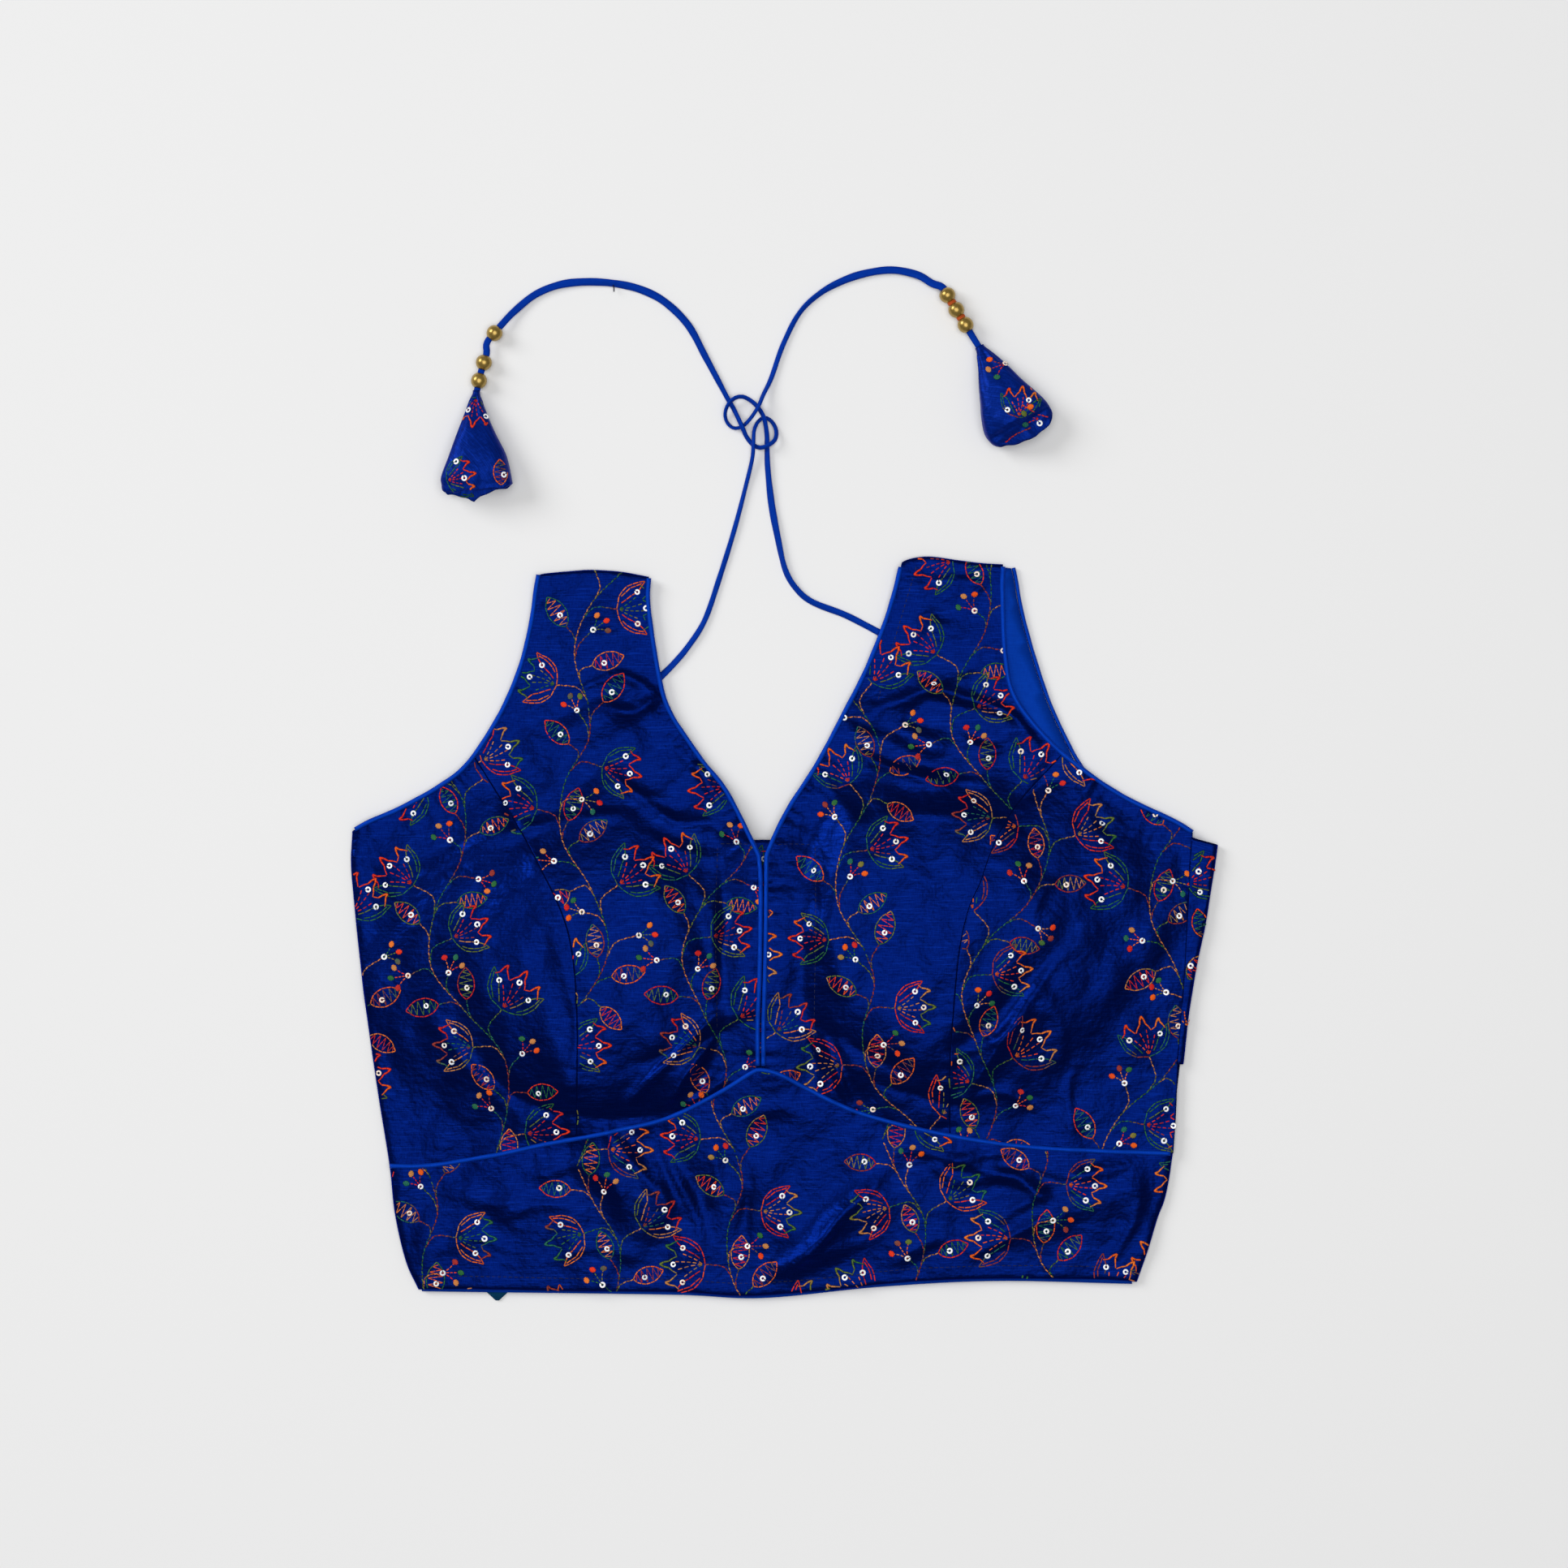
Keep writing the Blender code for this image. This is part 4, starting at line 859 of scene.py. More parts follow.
def carried_tube(name, path, widths, heights, twists, sides=10, squareness=1.0):
    """A tube's mesh: an oval section carried along the path, turned by the twists in radians."""
    path = np.asarray(path, float)
    count = len(path)
    widths, heights, twists = [np.broadcast_to(np.asarray(v, float), count)
                               for v in (widths, heights, twists)]
    run = np.gradient(path, axis=0)
    run /= np.linalg.norm(run, axis=1)[:, None]
    side = np.cross(run, [0, 0, 1.0])
    side /= np.maximum(np.linalg.norm(side, axis=1), 1e-6)[:, None]
    up = np.cross(side, run)
    across = np.cos(twists)[:, None] * side + np.sin(twists)[:, None] * up
    over = -np.sin(twists)[:, None] * side + np.cos(twists)[:, None] * up
    mesh, cells = new_grid(count - 1, sides)
    i = np.round(cells[:, 0] * (count - 1)).astype(int)
    turn = 2 * math.pi * cells[:, 1]
    c, s = [np.copysign(np.abs(v) ** squareness, v)[:, None] for v in (np.cos(turn), np.sin(turn))]
    places = path[i] + across[i] * c * widths[i, None] / 2 + over[i] * s * heights[i, None] / 2
    flat = np.column_stack([travel(path)[i], turn * widths[i] / 2]) * MM
    return closed_round(mesh, name, places, flat)


# %% Piping on every seam that shows it
PIPING_STEP = 1.7
PIPING_SITS = -0.15
PIPING_SWELL, PIPING_FLATTENED = 0.035, 0.96
SWELLS = [(2.3, 1.0, 1.0), (5.1, 0.7, 2.0), (13.0, 0.5, 0.5)]  # length, share, how much the phase shifts it


def piping_path(line):
    flat = even(line, PIPING_STEP)
    tall = front_height(flat[:, 0], flat[:, 1]) + PIPING_SITS
    return np.column_stack([flat, tall])


def uneven(along, share, phase):
    """Close to 1, and a little more or less from place to place along a piece."""
    return 1 + share * sum(a * np.sin(along / length + shift * phase) for length, a, shift in SWELLS)


def add_piping(node, path, radius):
    name = node + "_bias"
    width = 2 * radius * uneven(travel(path), PIPING_SWELL, len(name))
    data = carried_tube(name, path, width, width * PIPING_FLATTENED, 0.0)
    add_piece(name, data, bias_silk, node)


for seam in ("neck_left", "neck_right", "armhole_left", "armhole_right", "waist"):
    add_piping("piping_" + seam, piping_path(edges[seam]), PIPING_RADIUS)
BACK_PIPING_RADIUS, BACK_PIPING_OUT, BACK_PIPING_HEIGHT = 1.0, 1.2, 1.65
back_armhole_line = smooth_line(BACK_EDGE["armhole_right"][3:])
back_armhole = shifted(even(back_armhole_line, PIPING_STEP), -BACK_PIPING_OUT)
back_path = np.column_stack([back_armhole, np.full(len(back_armhole), BACK_PIPING_HEIGHT)])
add_piping("piping_back_armhole_right", back_path, BACK_PIPING_RADIUS)
print("piping along", round(sum(travel(edges[s])[-1] for s in PUCKERED)), "mm of seams")

# %% [markdown]
# ## Back, lining and the turned edge
#
# The back is a flat sheet on the table with a deep neck, so its outline is not four-sided. A
# Delaunay fill covers such an outline with even triangles. The lining lies on it and shows inside
# the right strap, and as a thin bright rim under the hem. At the right side the back's cloth comes
# round the fold on to the front, so that strip is a grid rolled over a small radius.

# %% The flat back and its lining
FILL_STEP, RIM_STEP, RIM_FREE = 5.0, 4.0, 2.5
BACK_FACE, BACK_WALL, LINING_FACE, LINING_WALL = 1.2, 1.2, 2.5, 1.0
LINING_INSET, LINING_DROP = 9.0, 2.9
LINING_SWELL, STRAP_FROM_Y = 1.6, 78.0


def back_outline(inset_right, hem_drop):
    """The back's whole edge, its right side moved in and its hem moved down."""
    runs = [[(x, y - hem_drop) for x, y in BACK_EDGE["hem"]],
            [(x - inset_right, y) for x, y in BACK_EDGE["side_right"]]]
    runs += [BACK_EDGE[k] for k in ("armhole_right", "shoulder_right", "neck", "shoulder_left",
                                    "armhole_left", "side_left")]
    return np.array([point for run in runs for point in even(smooth_line(run), RIM_STEP)])


def inside(outline, x, y):
    """Whether each place lies inside the closed outline, by counting the edges it crosses."""
    a, b = outline, np.roll(outline, -1, axis=0)
    within = np.zeros(x.shape, bool)
    for (ax, ay), (bx, by) in zip(a, b):
        if ay != by:
            within ^= ((ay > y) != (by > y)) & (x < (bx - ax) * (y - ay) / (by - ay) + ax)
    return within


def filled_sheet(name, outline, tall):
    """A sheet inside the outline, filled with even triangles; tall gives its height at x, y."""
    low, high = outline.min(0), outline.max(0)
    gx, gy = np.meshgrid(np.arange(low[0], high[0], FILL_STEP), np.arange(low[1], high[1], FILL_STEP))
    gx, gy = gx.ravel(), gy.ravel()
    gx = gx + np.where(np.round(gy / FILL_STEP) % 2, FILL_STEP / 2, 0)
    apart, _, _ = distance_to(np.vstack([outline, outline[:1]]), gx, gy)
    kept = inside(outline, gx, gy) & (apart > RIM_FREE)
    points = [Vector(p) for p in outline] + [Vector(p) for p in zip(gx[kept], gy[kept])]
    places, _, faces, *_ = delaunay_2d_cdt(points, [], [list(range(len(outline)))], 1, 1e-4)
    mesh = bmesh.new()
    flat = np.array([tuple(p) for p in places])
    levels = tall(flat[:, 0], flat[:, 1])
    verts = [mesh.verts.new((x * MM, y * MM, z * MM)) for (x, y), z in zip(flat, levels)]
    for face in faces:
        mesh.faces.new([verts[k] for k in face])
    bmesh.ops.recalc_face_normals(mesh, faces=mesh.faces)
    if sum(face.normal.z for face in mesh.faces) < 0:
        bmesh.ops.reverse_faces(mesh, faces=mesh.faces)
    data = finished(mesh, name)
    keep_flat_map(data, flat)
    return data


def lining_height(x, y):
    """The lining lies flat, and swells where the right strap leaves it open."""
    outer, _, _ = distance_to(back_armhole_line, x, y)
    inner, _, _ = distance_to(smooth_line(ARMHOLE_RIGHT), x, y)
    open_strip = smooth_step(outer / 5.0) * smooth_step((8.0 - inner) / 6.0) * (y > STRAP_FROM_Y)
    soft = 0.5 + 0.3 * np.sin(y / 11.0) + 0.2 * np.sin(x / 4.0 - y / 17.0)
    return LINING_FACE + LINING_SWELL * open_strip * soft


back_data = filled_sheet("back_silk", back_outline(0, 0), lambda x, y: np.full(x.shape, BACK_FACE))
back_cloth = add_piece("back_silk", back_data, silk, "back_panel")
add_wall(back_cloth, BACK_WALL)
lining_data = filled_sheet("back_lining_cloth", back_outline(LINING_INSET, LINING_DROP), lining_height)
lining = add_piece("back_lining_cloth", lining_data, bright_lining, "back_lining")
add_wall(lining, LINING_WALL)

# %% The edge that is turned over the right side
TURNED_EDGE = [  # y, x of the fold, x of the seam that it reaches back to
    (-70, 206.4, 203.7), (-55, 208.1, 205.1), (-25, 212.4, 207.0), (8, 219.0, 208.8),
    (28, 222.1, 210.1), (43.2, 224.3, 211.3),
]
TURN_RADIUS, TURN_WALL, TURN_TUCK, TURN_LIES_AT = 2.3, 0.9, 7.0, 0.25
TURN_ARC = math.pi * TURN_RADIUS
TURN_SLANT, SLANT_FROM_Y, SLANT_FADE, SLANT_FREE = 0.27, 24.0, 18.0, 4.0  # its top end is cut slanted
TURN_COLUMNS, TURN_ROWS = 26, 70
TURNED_MAP_X = 300.0  # its flat map lies beside the back's, so that its threads don't repeat them
turned_line = smooth_line(TURNED_EDGE, 2.0)


def turned_place(along, share):
    """A point of the turned edge: along it from its low end, and a share across from under the back."""
    low_y, fold, seam = at(turned_line, [along])[0]
    middle = fold - TURN_RADIUS
    top = max(middle - seam + 1.0, 0.8)
    reach = share * (TURN_TUCK + TURN_ARC + top)
    slant = TURN_SLANT * max(0.0, reach - TURN_TUCK - SLANT_FREE)
    y = low_y + slant * smooth_step((low_y - SLANT_FROM_Y) / SLANT_FADE)
    wave = 0.35 * math.sin(along / 5.0) + 0.3 * math.sin(along / 9.3 + 1.2)
    if reach <= TURN_TUCK:
        return middle - TURN_TUCK + reach, y, TURN_LIES_AT, reach
    if reach <= TURN_TUCK + TURN_ARC:
        turn = (reach - TURN_TUCK) / TURN_RADIUS
        x = middle + (TURN_RADIUS + 0.3 * wave * math.sin(turn)) * math.sin(turn)
        return x, y, TURN_LIES_AT + TURN_RADIUS * (1 - math.cos(turn)), reach
    flat = reach - TURN_TUCK - TURN_ARC
    ripple = 1.4 * wave * min(1.0, flat / 4.0) * max(0.0, 1 - flat / (top + 1e-6))
    z = TURN_LIES_AT + 2 * TURN_RADIUS + ripple - 0.8 * smooth_step(flat / max(top, 1) - 0.75)
    return middle - flat, y, z, reach


def add_turned_edge():
    mesh, cells = new_grid(TURN_COLUMNS, TURN_ROWS)
    flat = []
    for vertex, (share, up) in zip(mesh.verts, cells):
        along = up * travel(turned_line)[-1]
        x, y, z, reach = turned_place(along, share)
        flat.append((reach + TURNED_MAP_X, along))
        vertex.co = Vector((x, y, float(z))) * MM
    data = finished(mesh, "turned_edge_silk")
    keep_flat_map(data, flat)
    strip = add_piece("turned_edge_silk", data, silk, "back_panel")
    add_wall(strip, TURN_WALL, 1.0)
    return strip


turned_edge = add_turned_edge()

# %% [markdown]
# ## Underlap and tape
#
# Behind the mock placket lies a strip of the same silk, seen only where the V opens. Under the
# hem a folded end of teal tape peeps out.

# %% Underlap and tape
UNDERLAP_EDGES, UNDERLAP_MAP = ((-20.0, -1.5), (-66.0, 46.0)), (40.0, 90.0)
UNDERLAP_FACE, UNDERLAP_WALL, UNDERLAP_ROLL_Y = 3.8, 1.0, 44.5
TAPE_FACE, TAPE_WALL, TAPE_MIDDLE, TAPE_CUT = 1.0, 0.7, 148.3, (0.0165, 0.0105)
TAPE_OUTLINE = [(-156.5, -185.6), (-140.0, -185.6), (-147.4, -192.3), (-149.2, -192.3)]


def add_underlap():
    (x0, x1), (y0, y1) = UNDERLAP_EDGES
    mesh, cells = new_grid(12, 56)
    x, y = x0 + cells[:, 0] * (x1 - x0), y0 + cells[:, 1] * (y1 - y0)
    slack = 0.25 * np.sin(y / 5.0) * np.cos(x / 4.0)
    z = UNDERLAP_FACE + slack - 0.5 * smooth_step((y - UNDERLAP_ROLL_Y) / 1.5)
    for vertex, place in zip(mesh.verts, np.column_stack([x, y, z])):
        vertex.co = Vector(place) * MM
    data = finished(mesh, "placket_underlap_silk")
    keep_flat_map(data, np.column_stack([x, y]) + UNDERLAP_MAP)
    strip = add_piece("placket_underlap_silk", data, silk, "placket_underlap")
    add_wall(strip, UNDERLAP_WALL)
    return strip


def add_tape():
    data = filled_sheet("hem_tape_cloth", np.array(TAPE_OUTLINE),
                        lambda x, y: TAPE_FACE - 0.25 * smooth_step(np.abs(x + TAPE_MIDDLE) / 9.0))
    tape = add_piece("hem_tape_cloth", data, tape_cloth, "hem_tape")
    add_wall(tape, TAPE_WALL)


underlap = add_underlap()
add_tape()

# %% [markdown]
# ## Tie cords
#
# Each cord is a flat tube of the piping silk. It starts under the neck edge, runs to the loose
# knot, and ends in its beads and tassel. A flat cord twists as it lies, so it looks wide where it
# lies flat and narrow where it stands on edge. Its route is the one that its solid follows.

# %% Routes of the cords
CORD_LIES_AT = 1.27
CORD_LEFT = [
    (-64.8, 129.3, 1.27), (-57.5, 136.5, 1.27), (-49.5, 146, 1.27), (-41, 159.5, 1.27),
    (-33.5, 181, 1.27), (-25.5, 207, 1.27), (-19.5, 230, 1.35), (-16.4, 243, 2.8), (-15.8, 250.5, 4.1),
    (-15.4, 257.5, 3.0), (-13.4, 262.2, 1.6), (-10, 264.3, 1.27), (-6.3, 262.2, 1.27), (-4, 257.5, 1.9),
    (-4.7, 252.6, 3.2), (-8.6, 249.5, 4.1), (-12.4, 248.6, 2.8), (-16, 250.2, 1.27), (-19.2, 254, 1.8),
    (-21.8, 259.7, 4.1), (-24, 264.5, 3.2), (-26.3, 269.3, 1.5), (-29.5, 274.8, 1.27),
    (-40.5, 295.5, 1.27), (-49.5, 312, 1.27), (-61.5, 324, 1.27), (-74, 330.5, 1.27), (-88, 333.7, 1.27),
    (-102.5, 334.5, 1.27), (-116, 333, 1.27), (-128.5, 328, 1.4), (-139, 319.5, 2.2), (-145.8, 312.1, 3.7),
    (-153.2, 303.1, 4.2), (-153.6, 297.0, 4.2), (-156.4, 287.7, 4.2), (-158.7, 277.2, 4.0),
]
CORD_RIGHT = [
    (50.2, 152.6, 1.27), (42, 157, 1.27), (31, 162.5, 1.27), (14.5, 169, 1.27), (6.2, 176, 1.27),
    (0.5, 186, 1.27), (-3.5, 203.5, 1.27), (-6.5, 220, 1.27), (-8.4, 238, 1.27), (-8.8, 249.5, 1.27),
    (-8.8, 254.5, 1.9), (-9.4, 259.8, 3.4), (-10.6, 264.6, 4.1), (-13.4, 269.3, 3.1), (-17.2, 273, 2.2),
    (-21.4, 274.9, 3.2), (-25.2, 274.2, 4.1), (-28.6, 271.2, 3.9), (-30.4, 266.6, 2.4), (-29.5, 262, 1.5),
    (-26.3, 259, 1.27), (-21.8, 259.6, 1.27), (-17.6, 263.3, 3.4), (-13.4, 269.3, 5.9), (-10.8, 275.6, 3.4),
    (-6.5, 285, 1.35), (-0.5, 302, 1.27), (8, 318.4, 1.27), (18.5, 328.5, 1.27), (31, 335.3, 1.27),
    (43.5, 339.2, 1.27), (56.5, 340.6, 1.35), (69, 338, 1.9), (76.5, 333.5, 2.9), (82.1, 331.0, 4.0),
    (86.7, 323.4, 4.2), (91.3, 315.8, 4.2), (96.1, 307.9, 4.2), (101.1, 299.9, 4.0),
]
CORD_WIDTH, CORD_THICK, CORD_SQUARENESS = 3.5, 1.5, 0.8
CORD_WIDTHS = {  # share of the length, width
    "left": [(0, 3.5), (0.1, 2.9), (0.24, 2.5), (0.36, 2.3), (0.5, 2.5), (0.58, 3.4), (0.66, 4.0),
             (0.80, 4.0), (0.90, 3.5), (1, 3.4)],
    "right": [(0, 3.3), (0.12, 3.5), (0.22, 3.8), (0.34, 3.0), (0.50, 2.3), (0.60, 2.7), (0.68, 2.6),
              (0.77, 3.9), (0.88, 4.1), (1, 3.4)],
}
CORD_TWISTS = {  # share of the length, twist in degrees
    "left": [(0, 8), (0.08, 20), (0.17, -12), (0.26, 40), (0.36, 50), (0.44, 40), (0.5, 30), (0.58, 8),
             (0.66, -10), (0.74, 28), (0.82, -8), (0.90, 5), (1, 0)],
    "right": [(0, 5), (0.10, 25), (0.18, 50), (0.26, 10), (0.34, 45), (0.46, 60), (0.55, 45), (0.62, 15),
              (0.70, -35), (0.78, 0), (0.86, 10), (1, 0)],
}

# %% [markdown]
# ## Beads and tassels
#
# The beads are lacquered a pearly gold and threaded on the cord. Each is a profile spun round its
# bore. A tassel is a square of the blouse silk rolled into a cone and gathered on the cord's end,
# so it is wide and soft at its mouth, where the raw edge is tucked in and one corner peeps out.

# %% Gold beads
BEAD_RADIUS, BEAD_BORE, BEAD_STEPS = 4.2, 1.75, 36
BEADS = {
    "left": [(-149.5, 307.6, -7.4, -9.0), (-155.0, 292.4, -2.8, -9.3), (-157.5, 283.1, -2.2, -9.3)],
    "right": [(84.4, 327.2, 4.6, -7.6), (89.0, 319.6, 4.6, -7.6), (93.7, 311.9, 4.8, -7.9)],
}


GOLD_DEEP, GOLD_LIGHT = (0.27, 0.165, 0.024), (0.47, 0.320, 0.085)


def gold_finish():
    finish, tree, shader = new_finish("pearly gold lacquer", {
        "Metallic": 0.85, "Coat Weight": 0.35, "Coat Roughness": 0.15})
    cloudy = noise_on_piece(tree, 700.0, 3.0)
    tree.links.new(mix_colours(tree, cloudy, GOLD_DEEP, GOLD_LIGHT), shader.inputs["Base Color"])
    tree.links.new(spread(tree, cloudy, 0.24, 0.38), shader.inputs["Roughness"])
    add_relief(tree, cloudy, 0.12, 0.1, shader.inputs["Normal"])
    return finish


gold = gold_finish()


def add_bead(name, node, x, y, run_x, run_y):
    """A bead spun from half its outline round its own bore."""
    centre = Vector((x, y, BEAD_RADIUS)) * MM
    axis = Vector((run_x, run_y, 0)).normalized()
    out = Vector((0, 0, 1))
    mouth = math.asin(BEAD_BORE / BEAD_RADIUS)
    mesh = bmesh.new()
    outline = []
    for k in range(17):
        turn = mouth + (math.pi - 2 * mouth) * k / 16
        reach = BEAD_RADIUS * (1 + 0.012 * math.sin(3 * turn + x))
        place = (axis * math.cos(turn) + out * math.sin(turn)) * reach * MM
        outline.append(mesh.verts.new(centre + place))
    for end in (-0.8, 0.8):
        outline.append(mesh.verts.new(centre + (axis * end * BEAD_RADIUS + out * BEAD_BORE * 0.92) * MM))
    loops = [mesh.edges.new(pair) for pair in zip(outline, outline[1:] + outline[:1])]
    bmesh.ops.spin(mesh, geom=outline + loops, cent=centre, axis=axis, angle=2 * math.pi,
                   steps=BEAD_STEPS, use_merge=True, dvec=(0, 0, 0))
    bmesh.ops.remove_doubles(mesh, verts=mesh.verts, dist=1e-7)
    bmesh.ops.recalc_face_normals(mesh, faces=mesh.faces)
    return add_piece(name, finished(mesh, name), gold, node)


# %% Tassels
TASSELS = {
    "left": {
        "apex": (-158.9, 276.7), "towards": (0.0, -1.0),
        "sections": [(0, 1.8, 1.8, 6.4), (3, 2.6, 2.8, 7.2), (6.5, 3.9, 4.2, 8.5), (14, 7.0, 6.8, 11.0),
                     (22, 10.8, 10.0, 13.5), (31, 15.2, 13.6, 16.0), (39, 17.4, 16.6, 17.0),
                     (44.5, 18.6, 18.0, 16.4), (48, 19.4, 17.4, 15.0)],
    },
    "right": {
        "apex": (101.3, 299.6), "towards": (0.485, -0.874),
        "sections": [(0, 2.6, 2.2, 6.6), (4, 4.4, 4.0, 8.0), (8, 5.9, 5.9, 9.5), (16, 8.6, 9.9, 12.5),
                     (25, 11.2, 14.0, 15.0), (32, 13.6, 17.4, 16.5), (39.5, 16.0, 19.6, 17.0),
                     (45, 16.6, 19.0, 16.0), (48.5, 16.0, 17.5, 14.5)],
    },
}
TASSEL_LIPS = {  # where round the mouth in degrees, how far the cloth hangs past it
    "left": [(0, -1.5), (40, 1.2), (90, 2.4), (130, 3.6), (160, 3.0), (180, 0.5), (205, 3.6), (235, 4.6),
             (252, 5.4), (264, 8.4), (276, 4.4), (300, 1.5), (330, 0), (360, -1.5)],
    "right": [(0, -3), (30, 1.6), (60, 4.3), (90, 4.8), (120, 3.2), (150, 0.6), (180, -1.5), (220, 1.2),
              (250, 3.4), (270, 4.6), (300, 3.5), (330, 0.4), (360, -3)],
}
TASSEL_FLATNESS = 0.55
TASSEL_PLEATS = [(7, 0.5, 0.4), (11, 0.35, 2.0), (4, 0.6, 4.4)]
MOUTH_DEPTH, TASSEL_SIDES, TASSEL_RINGS, MOUTH_RINGS, TASSEL_OVERLAP = 9.0, 72, 46, 12, 1.3
TASSEL_FOLD = {"right": ((107.5, 255.0), (138.8, 272.0))}  # where the cloth is folded back at the mouth
FOLD_DROP, FOLD_WIDTH, FOLD_WAVE = 3.4, 1.7, 0.8


def folded_back(side, x, y):
    """How far the upper face lies lower beyond the fold at the mouth."""
    if side not in TASSEL_FOLD:
        return 0.0 * x
    (x0, y0), (x1, y1) = TASSEL_FOLD[side]
    beyond = ((x - x0) * (y1 - y0) - (y - y0) * (x1 - x0)) / math.hypot(x1 - x0, y1 - y0)
    beyond = np.maximum(beyond, 0.0)
    wave = FOLD_WAVE * np.sin(beyond * 0.9 + 0.25 * (x - x0)) * smooth_step(beyond / 3.0)
    return FOLD_DROP * smooth_step(beyond / FOLD_WIDTH) + wave


def tassel_frame(side):
    shape = TASSELS[side]
    apex, towards = np.array(shape["apex"]), np.array(shape["towards"])
    towards = towards / np.linalg.norm(towards)
    return apex, towards, np.array([-towards[1], towards[0]]), smooth_line(shape["sections"], 0.6)


def tassel_ring(side, along, turn):
    """A point of the cone: how far along it from the apex, and where round it."""
    apex, towards, aside, sections = tassel_frame(side)
    left, right, height = [np.interp(along, sections[:, 0], sections[:, k]) for k in (1, 2, 3)]
    c, s = np.cos(turn), np.sin(turn)
    pleat = sum(a * np.sin(n * turn + p + 0.03 * along) for n, a, p in TASSEL_PLEATS)
    pleat = pleat * np.exp(-along / 26.0) * smooth_step(along / 4.0) * 0.8
    sag = 0.5 * np.sin(along / 6.5 + 1.3 * c) * smooth_step(along / 15)
    sag = sag + 0.9 * np.sin(5 * turn + along / 9.0) * smooth_step((along - 30) / 16)
    s = np.sign(s) * np.abs(s) ** TASSEL_FLATNESS
    half = np.where(c < 0, right, left) + pleat + 0.4 * sag
    rise = np.where(s < 0, np.minimum(height / 2, 6.0), height / 2 + 0.6 * pleat + sag)
    base = np.minimum(height / 2, 6.0)
    flat = apex + towards * along[:, None] + aside * (c * half)[:, None]
    top = np.where(s > 0, s * (rise + height / 2 - base - folded_back(side, *flat.T)), 0)
    return np.column_stack([flat, base * (1 + np.where(s < 0, s, 0)) + top])


def add_tassel(side):
    sections = tassel_frame(side)[3]
    length = sections[-1, 0]
    rings = TASSEL_RINGS + MOUTH_RINGS
    mesh, cells = new_grid(rings, TASSEL_SIDES)
    row = cells[:, 0] * rings
    turn = 2 * math.pi * cells[:, 1]
    lip = np.interp(np.degrees(turn), *zip(*TASSEL_LIPS[side])) + 0.35 * np.sin(turn * 9 + 1.0)
    outward = np.clip(row / TASSEL_RINGS, 0, 1)
    inward = np.clip((row - TASSEL_RINGS) / MOUTH_RINGS, 0, 1)
    along = outward * (length + lip * outward**6) - TASSEL_OVERLAP * (1 - outward) ** 12
    apex, towards, aside, _ = tassel_frame(side)
    places = tassel_ring(side, np.minimum(along, length), turn)
    places[:, :2] += towards * np.maximum(along - length, 0)[:, None]
    middle = np.append(apex + towards * length, places[row > TASSEL_RINGS - 1][:, 2].mean())
    curl = np.sin(math.pi / 2 * np.minimum(inward * 3, 1))
    ruffle = 0.10 * inward * np.sin(3 * turn + 1.0)
    shrink = 1 - 0.10 * curl - 0.16 * np.clip(inward - 0.3, 0, 1) - ruffle
    inner = middle + (places - middle) * shrink[:, None]
    lip_roll = 0.7 * np.sin(math.pi * np.minimum(inward * 4, 1))
    inner[:, :2] -= towards * (MOUTH_DEPTH * np.clip(inward - 0.15, 0, 1) - lip_roll)[:, None]
    places = np.where(inward[:, None] > 0, inner, places)
    fan = turn * 0.45  # the cone unrolls to a fan on its flat map
    flat = np.column_stack([along * MM * np.cos(fan) + 0.5, along * MM * np.sin(fan)])
    data = closed_round(mesh, f"tassel_{side}_silk", places, flat)
    # the tassel's silk is the blouse silk painted lighter, as painted light on the cone's sloping top
    piece = add_piece(f"tassel_{side}_silk", data, lit_tassel_silk, f"tassel_{side}")
    return piece


def lay_cord(side, route):
    path = smooth_line(route, 1.4)
    path[:, 2] = np.maximum(path[:, 2], CORD_LIES_AT - 0.35)
    share = travel(path) / travel(path)[-1]
    degrees, twist = zip(*CORD_TWISTS[side])
    turns = np.radians(np.interp(share, degrees, twist))
    width = np.interp(share, *zip(*CORD_WIDTHS[side])) * uneven(travel(path), 0.02, 1.0)
    tube = carried_tube(f"tie_cord_{side}_flat", path, width, CORD_THICK, turns, 12, CORD_SQUARENESS)
    return path, tube


dressed = {}
for side, route in (("left", CORD_LEFT), ("right", CORD_RIGHT)):
    path, data = lay_cord(side, route)
    cord = add_piece(f"tie_cord_{side}_flat", data, cord_silk, f"tie_cord_{side}")
    beads = [add_bead(f"bead_{side}_{k}_gold", f"bead_{side}_{k}", *place)
             for k, place in enumerate(BEADS[side], 1)]
    tassel = add_tassel(side)
    dressed[side] = (cord, tassel)

# %% [markdown]
# ## Embroidery
#
# The silk is machine embroidered before it is cut, with a variegated thread: one thread whose
# colour changes along the spool from green through peach and orange to red. The design is a common
# one, a climbing stem with lotus flowers, small leaves and sprigs of berries, and its layout here
# is new. It is drawn once, as one repeat of the cloth. Each panel is then cut from the repeated
# cloth at its own place and angle, so a seam cuts through the motifs as it does in a real blouse.

# %% Threads and stitches
VARIEGATED = [  # red, green, blue on screen, in the order in which they follow on the spool
    (20, 110, 90), (36, 112, 56), (104, 124, 44), (216, 142, 78), (252, 128, 40), (255, 100, 0),
    (250, 52, 6), (224, 26, 22), (160, 50, 44),
]
SPOOL_REPEAT = 150.0
STEM_MIDDLE, STEM_SPREAD, STEM_CHANGES, STEM_MARK = 22.0, 36.0, 21.0, 1500.0


def from_screen(colour):
    c = np.asarray(colour, float) / 255
    return np.where(c <= 0.04045, c / 12.92, ((c + 0.055) / 1.055) ** 2.4)


